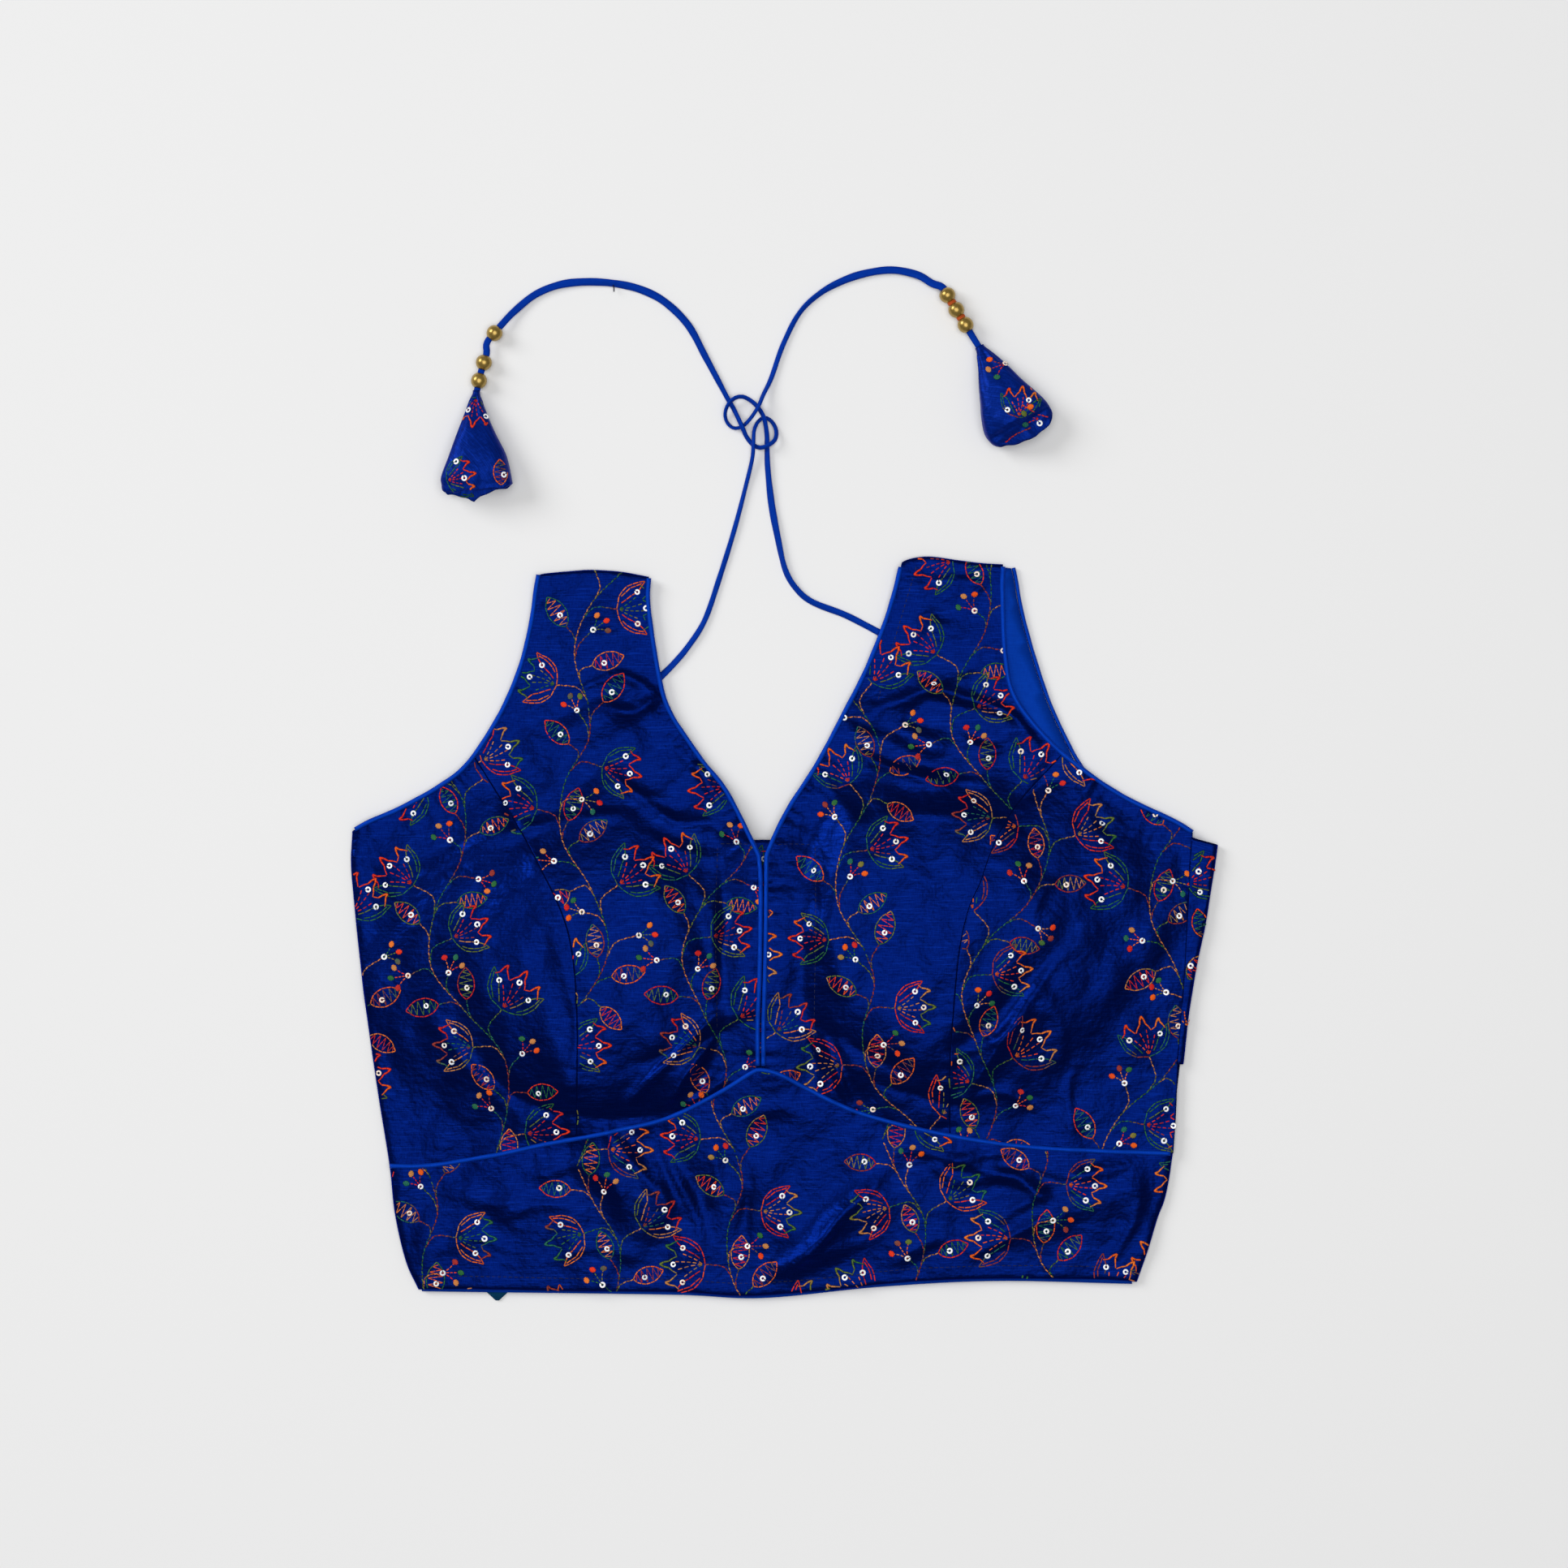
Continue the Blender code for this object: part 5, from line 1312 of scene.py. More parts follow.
def thread_colour(along):
    """The variegated thread's colour at a distance along it."""
    spool = from_screen(VARIEGATED)
    t = (along / SPOOL_REPEAT) % 1 * len(spool)
    i = np.floor(t).astype(int) % len(spool)
    share = (t - np.floor(t))[..., None]
    share = np.clip(share * 2.2 - 0.6, 0, 1)
    return spool[i] * (1 - share) + spool[(i + 1) % len(spool)] * share


def run_stitches(points, start, length, width, rope=0.0, gap=0.12, dull=0.85):
    """Stitches end to end along a curve: rows of x0, y0, x1, y1, width, place on the spool, shade."""
    line = smooth_line(points, 0.25) if len(points) > 2 else np.array(points, float)
    total = travel(line)[-1]
    count = max(1, round(total / length))
    marks = np.linspace(0, total, count + 1)
    p = at(line, marks[:-1] + gap * total / count)
    q = at(line, marks[1:] - gap * total / count)
    run = q - p
    side = np.stack([-run[:, 1], run[:, 0]], 1) / np.maximum(np.linalg.norm(run, axis=1), 1e-6)[:, None]
    sway = rope * np.where(np.arange(count) % 2, 1.0, -1.0)[:, None] * side
    shade = np.where(np.arange(count) % 2, 1.0, dull)
    return np.column_stack([p - sway, q + sway, np.full(count, width), start + marks[:-1], shade])


PETAL_OUTSIDE = [(0, 0), (5.6, 1.4), (9.2, 5.2), (10.6, 11.6)]
PETAL_INSIDE = [(10.6, 11.6), (6.8, 8.9), (4.6, 5.2), (2.2, 1.8)]
PETAL_RIB = [(4.8, 1.9), (8.0, 5.6), (9.6, 10.4)]
FLOWER_TOP = [(9.0, 9.8), (6.9, 14.4), (3.3, 10.2), (0.3, 16.8), (-3.3, 10.4), (-6.6, 14.8), (-8.9, 9.6)]
STAMENS = [(-4.6, 8.0), (-1.8, 10.4), (1.2, 11.2), (4.2, 8.4)]
FLOWER_SEQUINS = [(-6.4, 8.4), (0.2, 11.6), (6.2, 8.0)]
LEAF_EDGE = [(0, 0), (2.6, 2.2), (4.1, 6.4), (3.2, 11.4), (0, 15.4)]
SPRIG_STALKS = [(-4.6, 6.4), (0.6, 8.6), (5.0, 6.0)]


def mirrored(points):
    return [(-x, y) for x, y in points]


def as_stem(rows):
    """The same stitches in the spool's greens, browns and peaches, as the stems are."""
    rows[:, 5] = STEM_MARK + STEM_MIDDLE + STEM_SPREAD * np.sin(rows[:, 5] / STEM_CHANGES)
    return rows


def flower(start):
    """A lotus seen from the side, its calyx at the origin and its petals towards +Y."""
    rows = []
    for side in (1, -1):
        for line, later in ((PETAL_OUTSIDE, 0), (PETAL_INSIDE, 16), (PETAL_RIB, 6)):
            points = [(side * x, y) for x, y in line]
            rows.append(run_stitches(points, start + later + 5 * side, 2.5, 0.56, 0.08, 0.0, 0.7))
    spool = start + 74.0
    for (x0, y0), (x1, y1) in zip(FLOWER_TOP, FLOWER_TOP[1:]):
        middle = ((x0 + x1) / 2, (y0 + y1) / 2 - 0.9)
        stroke = run_stitches([(x0, y0), middle, (x1, y1)], spool, 1.7, 1.0, 0.18, -0.05)
        stroke[:, 4] = np.linspace(*((0.55, 1.0) if y1 > y0 else (1.0, 0.55)), len(stroke))
        rows.append(stroke)
        spool += 6
    for k, tip in enumerate(STAMENS):
        middle = (0.45 * tip[0] + 0.4, 0.5 * tip[1])
        rows.append(run_stitches([(0, 0.8), middle, tip], start + 96 + 6 * k, 2.2, 0.52, 0, 0.14, 0.6))
    return np.vstack(rows), FLOWER_SEQUINS, []


def leaf(start):
    """A leaf with its base at the origin, its two edges stitched and a zigzag between them."""
    rows = [run_stitches(edge, start + later, 2.2, 0.58, 0.06, 0.0, 0.7)
            for edge, later in ((LEAF_EDGE, 0), (mirrored(LEAF_EDGE), 6))]
    edge = smooth_line(LEAF_EDGE, 0.3)
    marks = at(edge, np.linspace(2.0, travel(edge)[-1] - 1.6, 11))
    zig = [((-1) ** k * 0.84 * x, y) for k, (x, y) in enumerate(marks)]
    for (x0, y0), (x1, y1) in zip(zig, zig[1:]):
        rows.append(run_stitches([(x0, y0), (x1, y1)], start + 62 + y0, 2.6, 0.42, 0, 0.0, 0.8))
    return np.vstack(rows), [(0.5, 5.6)], []


def sprig(start):
    """Three stalks that end in satin berries."""
    rows = []
    for k, tip in enumerate(SPRIG_STALKS):
        rows.append(run_stitches([(0, 0), (0.4 * tip[0], 0.55 * tip[1]), tip], start + 12 * k, 1.9, 0.55))
    berries = [(*tip, start + 40 * k + 50) for k, tip in enumerate(SPRIG_STALKS)]
    return np.vstack(rows), [(0.0, 0.3)], berries


def berry(x, y, spool, turn):
    """A small satin dot: stitches side by side, the outer ones shorter."""
    rows = []
    for k in range(-2, 3):
        half = 1.55 * math.sqrt(1 - (k / 2.35) ** 2)
        cx, cy = x - math.sin(turn) * 0.62 * k, y + math.cos(turn) * 0.62 * k
        dx, dy = math.cos(turn) * half, math.sin(turn) * half
        rows.append((cx - dx, cy - dy, cx + dx, cy + dy, 0.82, spool + 0.5 * k, 1.0))
    return np.array(rows)


# %% The layout of one repeat
MOTIFS = {"flower": flower, "leaf": leaf, "sprig": sprig}
TILE_WIDTH, TILE_HEIGHT = 158.0, 226.0
STEMS = [
    [(34, 0), (24, 26), (30, 52), (50, 78), (58, 104), (46, 132), (28, 156), (26, 184), (36, 208), (34, 226)],
    [(110, 0), (121, 24), (124, 50), (109, 76), (96, 102), (104, 130), (122, 154), (128, 182), (117, 206),
     (110, 226)],
]
# stem, share of its length, side, reach of the branch, angle out, kind
BRANCHES = [
    (0, 0.010, -1, 18, 64, "flower"), (0, 0.055, 1, 11, 88, "leaf"), (0, 0.100, 1, 17, 46, "sprig"),
    (0, 0.130, -1, 10, 50, "leaf"), (0, 0.185, 1, 19, 68, "flower"), (0, 0.235, -1, 15, 60, "sprig"),
    (0, 0.300, -1, 19, 68, "flower"), (0, 0.330, 1, 12, 88, "leaf"), (0, 0.375, 1, 10, 40, "leaf"),
    (0, 0.395, -1, 10, 40, "leaf"), (0, 0.440, 1, 20, 62, "sprig"), (0, 0.505, -1, 14, 58, "sprig"),
    (0, 0.530, 1, 18, 72, "flower"), (0, 0.575, -1, 14, 88, "leaf"), (0, 0.635, -1, 13, 48, "sprig"),
    (0, 0.665, 1, 11, 88, "leaf"), (0, 0.705, 1, 10, 40, "leaf"), (0, 0.730, -1, 16, 66, "flower"),
    (0, 0.765, 1, 14, 84, "sprig"), (0, 0.850, 1, 18, 74, "flower"), (0, 0.875, -1, 11, 84, "leaf"),
    (0, 0.930, -1, 15, 44, "sprig"), (0, 0.960, 1, 13, 50, "leaf"),
    (1, 0.010, 1, 17, 62, "flower"), (1, 0.050, -1, 13, 56, "sprig"), (1, 0.095, -1, 13, 52, "leaf"),
    (1, 0.110, 1, 13, 84, "leaf"), (1, 0.165, 1, 14, 48, "sprig"), (1, 0.205, -1, 18, 68, "flower"),
    (1, 0.245, 1, 19, 80, "flower"), (1, 0.312, 1, 10, 34, "leaf"), (1, 0.345, -1, 12, 58, "leaf"),
    (1, 0.380, 1, 11, 54, "sprig"), (1, 0.425, -1, 16, 82, "sprig"), (1, 0.455, 1, 19, 74, "flower"),
    (1, 0.505, -1, 10, 50, "leaf"), (1, 0.560, 1, 14, 66, "leaf"), (1, 0.560, -1, 20, 76, "flower"),
    (1, 0.625, 1, 17, 66, "sprig"), (1, 0.690, -1, 11, 66, "sprig"), (1, 0.715, 1, 11, 56, "leaf"),
    (1, 0.742, -1, 11, 40, "leaf"), (1, 0.795, 1, 18, 66, "flower"), (1, 0.825, -1, 19, 78, "flower"),
    (1, 0.880, 1, 13, 50, "sprig"), (1, 0.925, -1, 12, 56, "leaf"), (1, 0.940, 1, 9, 30, "leaf"),
]


def placed(rows, x, y, turn, size=1.0):
    c, s = size * math.cos(turn), size * math.sin(turn)
    out = rows.copy()
    for k in (0, 2):
        out[:, k] = x + c * rows[:, k] - s * rows[:, k + 1]
        out[:, k + 1] = y + s * rows[:, k] + c * rows[:, k + 1]
    return out


def embroidered_repeat():
    """One repeat of the embroidered cloth: its stitches, and its sequins as x, y."""
    draw = np.random.default_rng(11)
    stitches, sequins = [], []
    lines = [smooth_line(stem, 0.5) for stem in STEMS]
    for k, line in enumerate(lines):
        stitches.append(as_stem(run_stitches(line[::8], 60.0 * k, 2.0, 0.60, 0.18, 0.05, 0.35)))
    for number, (stem, share, side, reach, out, kind) in enumerate(BRANCHES):
        line = lines[stem]
        total = travel(line)[-1]
        foot, ahead = at(line, [share * total, min(share * total + 3, total)])
        heading = math.atan2(ahead[1] - foot[1], ahead[0] - foot[0])
        end_heading = heading - side * math.radians(out)
        start = heading - side * 0.35
        first = foot + 0.45 * reach * np.array([math.cos(start), math.sin(start)])
        tip = first + 0.6 * reach * np.array([math.cos(end_heading), math.sin(end_heading)])
        spool = draw.uniform(0, SPOOL_REPEAT)
        stitches.append(as_stem(run_stitches([foot, first, tip], spool, 2.0, 0.60, 0.16, 0.04, 0.4)))
        if kind == "flower" and draw.uniform() < 0.8:
            spool = draw.uniform(-10, 22)
        rows, shiny, berries = MOTIFS[kind](spool)
        size = {"flower": 1.36, "leaf": 1.10, "sprig": 1.04}[kind] * draw.uniform(0.92, 1.08)
        turn = end_heading - math.pi / 2 + draw.uniform(-0.2, 0.2)
        stitches.append(placed(rows, *tip, turn, size))
        c, s = size * math.cos(turn), size * math.sin(turn)
        for x, y, berry_spool in berries:
            stitches.append(berry(tip[0] + c * x - s * y, tip[1] + s * x + c * y, berry_spool,
                                  draw.uniform(0, math.pi)))
        for x, y in shiny:
            if draw.uniform() < 0.9:
                sequins.append((tip[0] + c * x - s * y, tip[1] + s * x + c * y))
    return np.vstack(stitches), np.array(sequins)


# %% [markdown]
# ## Laying the stitches
#
# A stitch is a short bar of thread, thick in its middle, that sinks into the cloth at both ends; its sides
# and ends are painted nearly black, as painted shade.
# One small bar is made, and a stretched copy of it is laid on the cloth for every stitch. Each
# copy is laid on the surface under it, found by looking straight down on the finished panel.

# %% Laying stitches on a piece
THREAD_SINKS, THREAD_HEIGHT = 0.10, 0.40
# the bars are widened, and their sides and ends are painted nearly black, as painted shade where the thread
# sinks into the cloth
THREAD_SPREAD, STITCH_EDGE_PAINTED_SHADE, THREAD_SHADE = 1.36, 0.02, 0.90
STEEPEST = 1.0


def shape_of(mesh, painted_shading=None):
    """The points and faces of a small closed shape, and the painted shading at each point, 1 where none is
    painted.
    """
    bmesh.ops.recalc_face_normals(mesh, faces=mesh.faces)
    mesh.verts.index_update()
    points = np.array([v.co[:] for v in mesh.verts])
    faces = np.array([[v.index for v in face.verts] for face in mesh.faces])
    mesh.free()
    return points, faces, np.ones(len(points)) if painted_shading is None else np.asarray(painted_shading)


def stitch_shape():
    """A bar of thread with painted shading: lightest along its back, nearly black at its sides and ends."""
    mesh = bmesh.new()
    across = [(-1.0, -0.55), (-0.46, 0.5), (0.0, 1.0), (0.46, 0.5), (1.0, -0.55)]
    rows = [[mesh.verts.new((x, y, z)) for y, z in across] for x in (-0.74, 0.74)]
    ends = [mesh.verts.new((x, 0.0, -0.45)) for x in (-1.0, 1.0)]
    for k in range(4):
        mesh.faces.new([rows[0][k], rows[1][k], rows[1][k + 1], rows[0][k + 1]])
        for row, end in zip(rows, ends):
            mesh.faces.new([row[k], row[k + 1], end])
    mesh.faces.new([rows[0][0], rows[0][4], rows[1][4], rows[1][0]])
    for row, end in zip(rows, ends):
        mesh.faces.new([row[0], row[4], end])
    bmesh.ops.triangulate(mesh, faces=mesh.faces)
    # painted shading across the bar: 1 on its back, 0.8 on its shoulders, nearly black at its sides and ends
    return shape_of(mesh, [STITCH_EDGE_PAINTED_SHADE, 0.8, 1, 0.8, STITCH_EDGE_PAINTED_SHADE] * 2 + [STITCH_EDGE_PAINTED_SHADE] * 2)


def ball_shape():
    mesh = bmesh.new()
    bmesh.ops.create_icosphere(mesh, subdivisions=1, radius=1.0)
    return shape_of(mesh)


BALL, BAR = ball_shape(), stitch_shape()


def surface_under(tree, x, y):
    """The place and normal in mm of the piece under each x, y, and whether it is there at all."""
    hits = [tree.ray_cast(Vector((a * MM, b * MM, 0.2)), Vector((0, 0, -1))) for a, b in zip(x, y)]
    there = np.array([hit[0] is not None for hit in hits], bool)
    place = np.array([hit[0] if hit[0] is not None else (0, 0, 0) for hit in hits]) / MM
    normal = np.array([hit[1] if hit[0] is not None else (0, 0, 1) for hit in hits])
    return place, normal * np.where(normal[:, 2] < 0, -1.0, 1.0)[:, None], there


def look_down_on(data):
    return BVHTree.FromPolygons([v.co[:] for v in data.vertices], [p.vertices[:] for p in data.polygons])


def unit(vectors):
    return vectors / np.maximum(np.linalg.norm(vectors, axis=1), 1e-9)[:, None]


def keep_dye(data, colours):
    """Stores a colour at each point of the mesh."""
    shades = np.column_stack([colours, np.ones(len(colours))])
    dye = data.attributes.new("dye", "FLOAT_COLOR", "POINT")
    dye.data.foreach_set("color", shades.ravel().astype(np.float32))


def copies(name, shape, centres, axes, colours, finish, node):
    """One piece made of copies of a shape, each with its own place, its own axes and its own colour."""
    points, faces, painted_shading = shape
    count, size = len(centres), len(points)
    verts = centres[:, None] + sum(points[None, :, k, None] * axes[k][:, None] for k in range(3))
    loops = (faces[None] + size * np.arange(count)[:, None, None]).reshape(-1, faces.shape[1])
    data = bpy.data.meshes.new(name)
    data.from_pydata((verts.reshape(-1, 3) * MM).tolist(), [], loops.tolist())
    # each point's colour is the copy's colour times the shape's painted shading
    keep_dye(data, np.repeat(colours, size, axis=0) * np.tile(painted_shading, count)[:, None])
    return add_piece(name, data, finish, node)


def lay_stitches(name, tree, rows, node, colours=None, above=0.0):
    """Copies of the bar for the rows x0, y0, x1, y1, width, place on the spool, shade."""
    x0, y0, x1, y1, width, spool, shade = rows.T
    width = width * THREAD_SPREAD
    start, _, starts = surface_under(tree, x0, y0)
    end, _, ends = surface_under(tree, x1, y1)
    middle, normal, between = surface_under(tree, (x0 + x1) / 2, (y0 + y1) / 2)
    steep = np.abs((end - start)[:, 2]) > STEEPEST * np.hypot(x1 - x0, y1 - y0)
    kept = starts & ends & between & (normal[:, 2] > 0.55) & ~steep
    run = (end - start)[kept]
    normal, width, middle = normal[kept], width[kept], middle[kept]
    side = unit(np.cross(normal, run))
    axes = [run * 0.52, side * width[:, None] / 2, unit(normal) * (width * THREAD_HEIGHT / 2)[:, None]]
    colours = thread_colour(spool) if colours is None else np.asarray(colours)
    colours = colours * shade[:, None] * THREAD_SHADE
    centres = middle + unit(normal) * (width * THREAD_HEIGHT / 2 - THREAD_SINKS + above)[:, None]
    return copies(name, BAR, centres, axes, colours[kept], thread, node)


# %% [markdown]
# ## Sequins
#
# A milky sequin sits in each flower, leaf and sprig. It is a thin ring, spun from the outline of
# its rim, and one dark stitch from its hole over its rim holds it down.

# %% Sequins
SEQUIN_RADIUS, SEQUIN_HOLE, SEQUIN_STEPS = 1.55, 0.6, 14


def sequin_shape():
    """A flat ring, spun from the outline of its rim."""
    mesh = bmesh.new()
    outline = [(SEQUIN_HOLE, 0.0), (SEQUIN_RADIUS, 0.06), (SEQUIN_RADIUS - 0.05, 0.2),
               (SEQUIN_HOLE + 0.12, 0.14)]
    verts = [mesh.verts.new((x, 0, z)) for x, z in outline]
    edges = [mesh.edges.new(pair) for pair in zip(verts, verts[1:] + verts[:1])]
    bmesh.ops.spin(mesh, geom=verts + edges, cent=(0, 0, 0), axis=(0, 0, 1), angle=2 * math.pi,
                   steps=SEQUIN_STEPS, use_merge=True, dvec=(0, 0, 0))
    bmesh.ops.remove_doubles(mesh, verts=mesh.verts, dist=1e-5)
    return shape_of(mesh)


def sequin_finish():
    finish, tree, shader = new_finish("milky sequin", {"Coat Weight": 0.3})
    dye_on_piece(tree, shader)
    smudges = noise_on_piece(tree, 900.0)
    tree.links.new(spread(tree, smudges, 0.14, 0.36), shader.inputs["Roughness"])
    return finish


SEQUIN = sequin_shape()
sequin_gloss = sequin_finish()
SEQUIN_SHADES = from_screen([(255, 255, 255), (248, 250, 252), (240, 234, 226), (246, 226, 210),
                             (226, 230, 236)])
KNOT_SHADES = from_screen([(30, 34, 40), (52, 44, 40), (24, 40, 48), (60, 52, 36)])


def lay_sequins(name, tree, spots, node, seed, above=0.0):
    """Sequins a little tilted, each held by one stitch from its hole over its rim."""
    draw = np.random.default_rng(seed)
    place, normal, there = surface_under(tree, *spots.T)
    kept = there & (normal[:, 2] > 0.6)
    place, normal = place[kept] + [0, 0, above], unit(normal[kept] + draw.normal(0, 0.09, (kept.sum(), 3)))
    count = len(place)
    turn = draw.uniform(0, 2 * math.pi, count)
    first = unit(np.cross(normal, np.column_stack([np.cos(turn), np.sin(turn), 0 * turn])))
    second = np.cross(normal, first)
    size = draw.uniform(0.94, 1.06, count)[:, None]
    shades = SEQUIN_SHADES[draw.choice(len(SEQUIN_SHADES), count, p=[0.45, 0.25, 0.1, 0.12, 0.08])]
    copies(name, SEQUIN, place + normal * 0.30, [first * size, second * size, normal], shades,
           sequin_gloss, node)
    held = place + normal * 0.5 + first * 1.12
    copies(name + "_knots", BALL, held, [first * 0.72, second * 0.26, normal * 0.16],
           KNOT_SHADES[draw.integers(0, len(KNOT_SHADES), count)], thread, node)


# %% Embroidering the panels
CUTS = {  # where each panel is cut from the cloth: shift x, shift y, angle in degrees
    "front_side_left": (-34.0, 12.0, 11.0), "front_centre_left": (22.0, -38.0, -6.0),
    "front_centre_right": (12.0, 64.0, 9.0), "front_side_right": (88.0, -18.0, -10.0),
    "front_band": (23.0, 131.0, 5.0), "placket_underlap": (18.0, 9.0, 0.0),
}
TURNED_MOTIFS = [  # kind, foot x, y, angle, size, place on the spool
    ("flower", 207.5, 24.0, -1.25, 1.2, 6), ("leaf", 215.5, -4.0, 0.15, 0.95, 78),
    ("leaf", 208.8, -26.0, -0.5, 0.95, 30), ("sprig", 207.6, -50.0, 0.2, 0.9, 60),
]
TURNED_SEQUINS = [(213.9, 29.6), (214.6, 19.0), (209.8, -19.0)]
REPEAT = embroidered_repeat()


def cut_from_cloth(low, high, shift_x, shift_y, degrees):
    """The repeat laid again and again over the box low to high, as stitches and sequins."""
    turn = math.radians(degrees)
    rows, spots = [], []
    middle = (np.asarray(low) + np.asarray(high)) / 2
    span = np.linalg.norm(np.asarray(high) - np.asarray(low)) / 2
    for i in range(-3, 4):
        for j in range(-3, 4):
            x, y = (i - 0.5) * TILE_WIDTH + shift_x, (j - 0.5) * TILE_HEIGHT + shift_y
            far_x = abs(x + TILE_WIDTH / 2) > span + TILE_WIDTH
            if far_x or abs(y + TILE_HEIGHT / 2) > span + TILE_HEIGHT:
                continue
            moved = placed(REPEAT[0], x, y, 0.0)
            moved[:, 5] += np.where(moved[:, 5] > STEM_MARK / 2, 0.0, 37.0 * i + 61.0 * j)
            rows.append(placed(moved, *middle, turn))
            dots = REPEAT[1] + [x, y]
            c, s = math.cos(turn), math.sin(turn)
            turned = [c * dots[:, 0] - s * dots[:, 1], s * dots[:, 0] + c * dots[:, 1]]
            spots.append(np.column_stack(turned) + middle)
    rows, spots = np.vstack(rows), np.vstack(spots)
    x, y = (rows[:, 0] + rows[:, 2]) / 2, (rows[:, 1] + rows[:, 3]) / 2
    rows = rows[(x > low[0]) & (x < high[0]) & (y > low[1]) & (y < high[1])]
    spots = spots[((spots > low) & (spots < high)).all(1)]
    return rows, spots


def embroider(piece, node, cut, seed):
    tree = look_down_on(piece.data)
    points = np.array([v.co[:2] for v in piece.data.vertices]) / MM
    rows, spots = cut_from_cloth(points.min(0), points.max(0), *cut)
    stitched = lay_stitches(piece.name + "_stitches", tree, rows, node)
    lay_sequins(piece.name + "_sequins", tree, spots, node, seed)
    print(f"{piece.name}: {len(stitched.data.polygons) // len(BAR[1])} stitches")


for seed, (node, panel) in enumerate(panels.items()):
    embroider(panel, node, CUTS[node], seed)
turned_tree = look_down_on(turned_edge.data)
turned_rows = [placed(MOTIFS[kind](spool)[0], x, y, turn, size)
               for kind, x, y, turn, size, spool in TURNED_MOTIFS]
lay_stitches("turned_edge_stitches", turned_tree, np.vstack(turned_rows), "back_panel", above=TURN_WALL)
lay_sequins("turned_edge_sequins", turned_tree, np.array(TURNED_SEQUINS), "back_panel", 21, TURN_WALL)
embroider(underlap, "placket_underlap", CUTS["placket_underlap"], 22)

# %% [markdown]
# The tassels are cut from the same cloth, so each shows whole motifs beside cut ones. They are
# placed one by one: kind, foot of the motif, its angle, its size and its place on the spool.

# %% Embroidery on the tassels
TASSEL_MOTIFS = {
    "left": [("flower", -158.6, 274.2, 3.05, 0.98, 4), ("flower", -173.4, 230.8, -1.33, 0.95, 2),
             ("leaf", -145.2, 228.4, 0.06, 0.86, 68)],
    "right": [("sprig", 113.7, 291.1, 1.98, 1.05, 108), ("flower", 120.4, 262.8, -0.12, 1.0, 140),
              ("sprig", 131.0, 262.5, 1.35, 0.95, 96)],
}
TASSEL_STEMS = {
    "left": [[(-178, 247), (-174.5, 257), (-169.5, 266)]],
    "right": [[(118.5, 290), (124, 284), (127.5, 277)], [(122, 269.5), (129, 265.5), (136, 263.5)],
              [(114, 250.6), (119, 254.5), (127, 258)]],
}
TASSEL_SEQUINS = {
    "left": [(-162.4, 267.3), (-153.6, 264.0), (-168.2, 240.3), (-163.9, 231.7), (-143.9, 233.6),
             (-165.2, 222.6)],
    "right": [(113.8, 291.1), (114.7, 266.7), (125.6, 271.7), (131.5, 260.4)],
}


def embroider_tassel(side):
    tassel = dressed[side][1]
    tree = look_down_on(tassel.data)
    rows = [run_stitches(stem, 60 + 30 * k, 2.0, 0.62, 0.14, 0.04)
            for k, stem in enumerate(TASSEL_STEMS[side])]
    for kind, x, y, turn, size, spool in TASSEL_MOTIFS[side]:
        motif, _, berries = MOTIFS[kind](spool)
        rows.append(placed(motif, x, y, turn, size))
        c, s = size * math.cos(turn), size * math.sin(turn)
        rows += [berry(x + c * bx - s * by, y + s * bx + c * by, b_spool, bx)
                 for bx, by, b_spool in berries]
    node = f"tassel_{side}"
    lay_stitches(f"tassel_{side}_stitches", tree, np.vstack(rows), node)
    lay_sequins(f"tassel_{side}_sequins", tree, np.array(TASSEL_SEQUINS[side]), node, 31)


for side in dressed:
    embroider_tassel(side)

# %% [markdown]
# ## Sewing
#
# Blue thread shows where the hem and the facings are stitched down from the front. The lines are
# a few millimetres in from the edges, with about nine stitches to the inch.

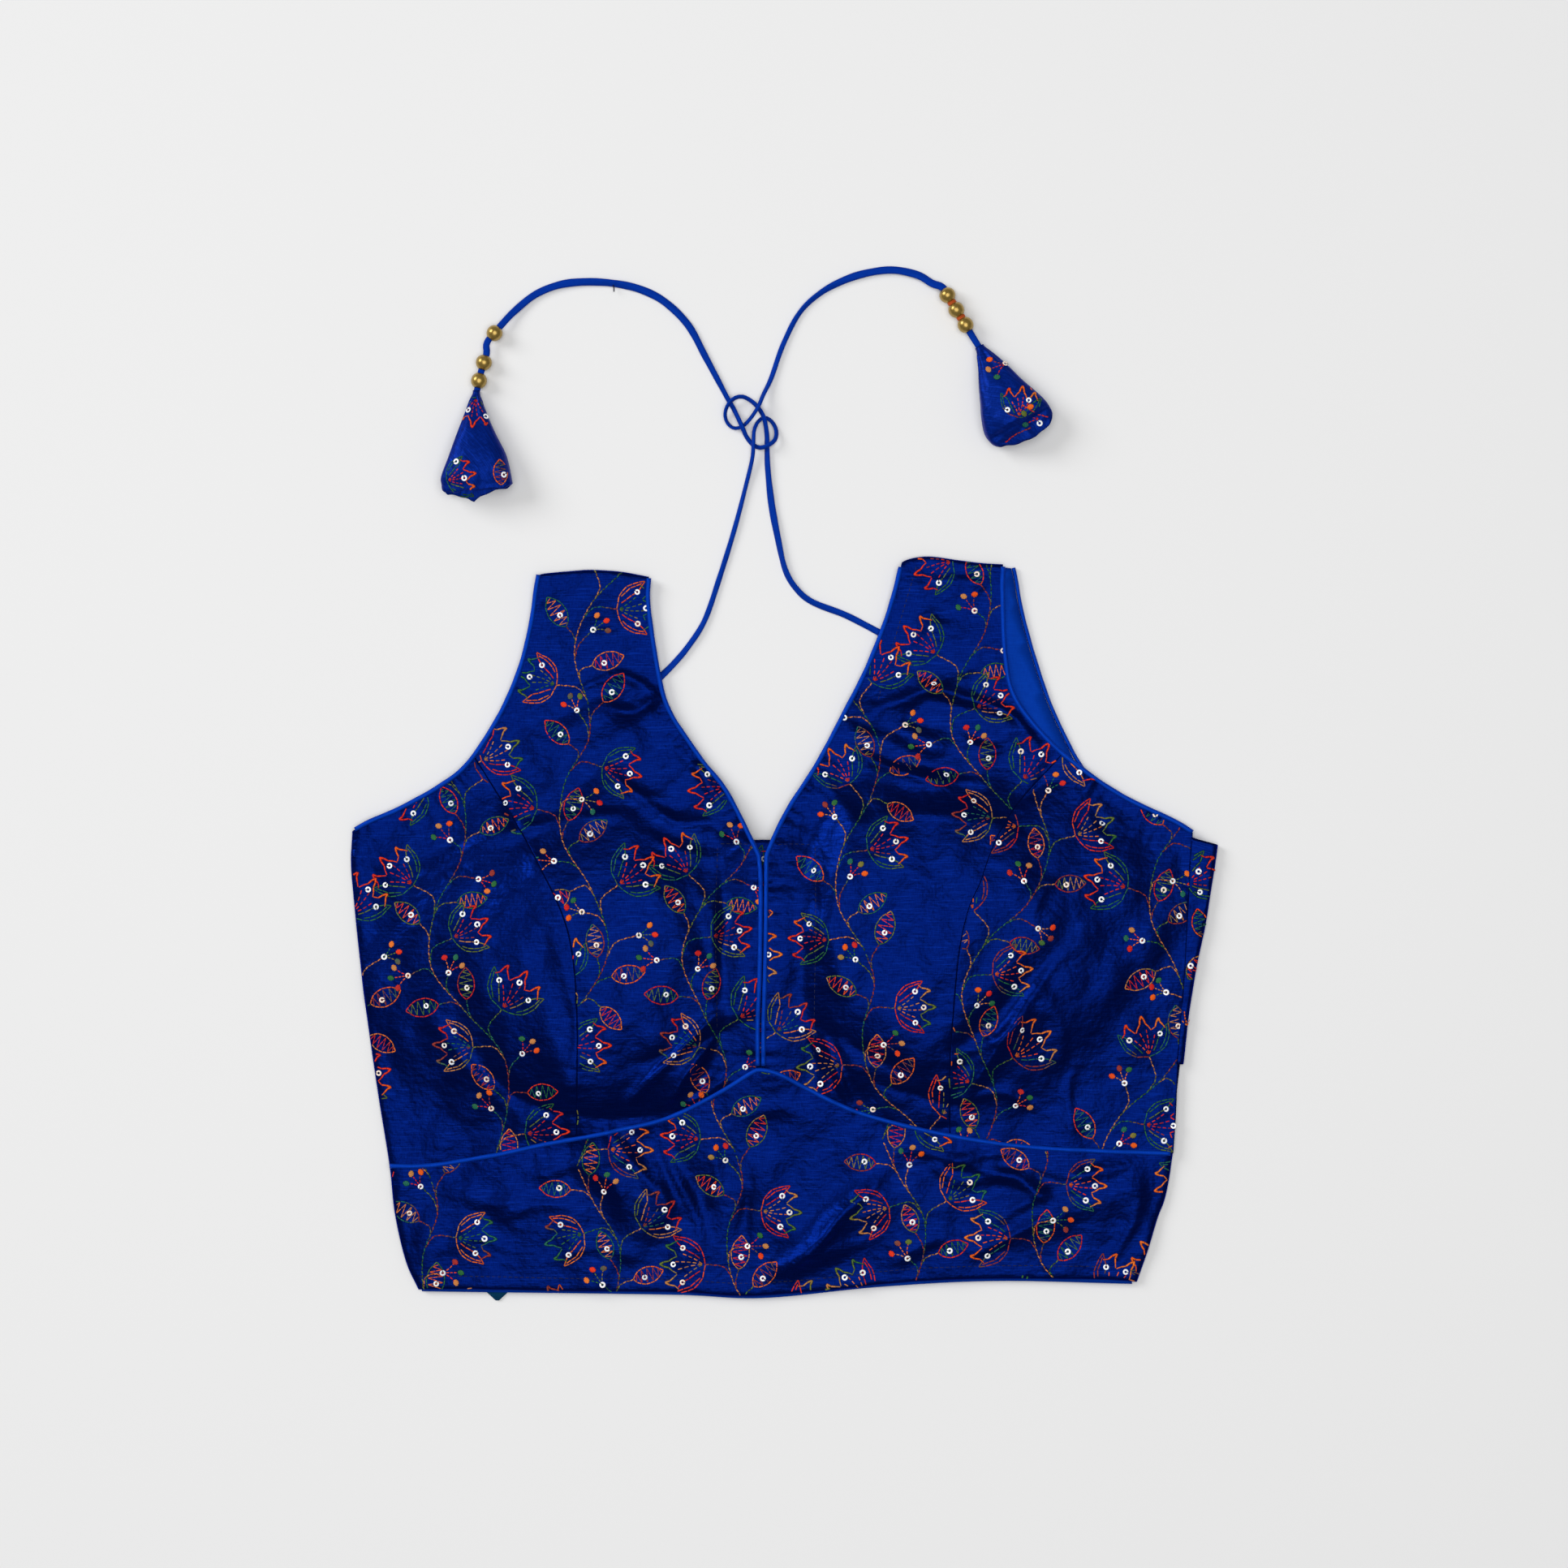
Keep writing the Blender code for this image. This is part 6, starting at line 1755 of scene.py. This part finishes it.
# %% Topstitching
SEAM_STITCH, SEAM_THREAD = 2.9, 0.55
# dark navy thread, darkened further as painted shade of the small groove that the stitching pulls into the
# silk
SEAM_THREAD_AND_GROOVE_SHADE = from_screen((3, 10, 58))
HEM_TURN = 7.0
SEWN = [  # node, line
    ("front_band", [(x, y + HEM_TURN) for x, y in edges["hem"][::40]]),
    ("front_centre_left", [(-34.2, 42.8), (-35.2, 5.0), (-34.6, -30.0), (-34.2, -65.5)]),
    ("front_centre_left", [(-33.2, 43.9), (-24.0, 44.0), (-15.1, 43.6)]),
    ("front_centre_right", [(16.0, 42.8), (16.2, 0.0), (15.6, -35.0), (15.4, -65.5)]),
    ("front_centre_right", [(-3.4, 43.6), (5.0, 43.9), (13.9, 43.6)]),
    ("front_centre_right", [(68.5, 187.5), (61.8, 165.0), (53.4, 136.5), (48.6, 118.0)]),
]
for count, (node, line) in enumerate(SEWN):
    rows = run_stitches(line, 0.0, SEAM_STITCH, SEAM_THREAD, 0.0, 0.12)
    lay_stitches(f"seam_{count}_{node}", look_down_on(panels[node].data), rows, node, SEAM_THREAD_AND_GROOVE_SHADE, -0.12)

# %% Thread rings between the beads, and a stray end
RING_SHADE, STRAY_SHADE = from_screen((196, 88, 30)), from_screen((8, 14, 44))
BEAD_RINGS = [("bead_right_1", (86.7, 323.4), (4.6, -7.7)), ("bead_right_2", (91.35, 315.75), (4.7, -7.7))]
STRAY_END = [(-88.4, 332.8), (-87.9, 331.2), (-87.9, 329.3)]


def add_thread_ring(name, node, centre, run):
    """A few turns of orange thread round the cord, drawn as one carried tube."""
    run = np.array([*run, 0.0]) / np.hypot(*run)
    side = np.cross(run, [0, 0, 1.0])
    turns = np.linspace(0, 2.6 * 2 * math.pi, 90)
    path = np.array([*centre, 4.2]) + np.outer(np.cos(turns) * 2.1, side) + np.outer(
        np.sin(turns) * 1.5, [0, 0, 1.0]) + np.outer(np.linspace(-0.75, 0.75, 90), run)
    tube = carried_tube(name, path, 0.55, 0.55, 0.0, sides=8)
    keep_dye(tube, np.tile(RING_SHADE, (len(tube.vertices), 1)))
    add_piece(name, tube, thread, node)


for count, (node, centre, run) in enumerate(BEAD_RINGS):
    add_thread_ring(f"thread_ring_{count}", node, centre, run)
stray = smooth_line(STRAY_END, 0.4)
stray = np.column_stack([stray, 1.6 + 0.8 * np.sin(np.linspace(0, 2.4, len(stray)))])
stray_tube = carried_tube("stray_end", stray, 0.6, 0.5, 0.0, sides=6)
keep_dye(stray_tube, np.tile(STRAY_SHADE, (len(stray_tube.vertices), 1)))
add_piece("stray_end", stray_tube, thread, "tie_cord_left")
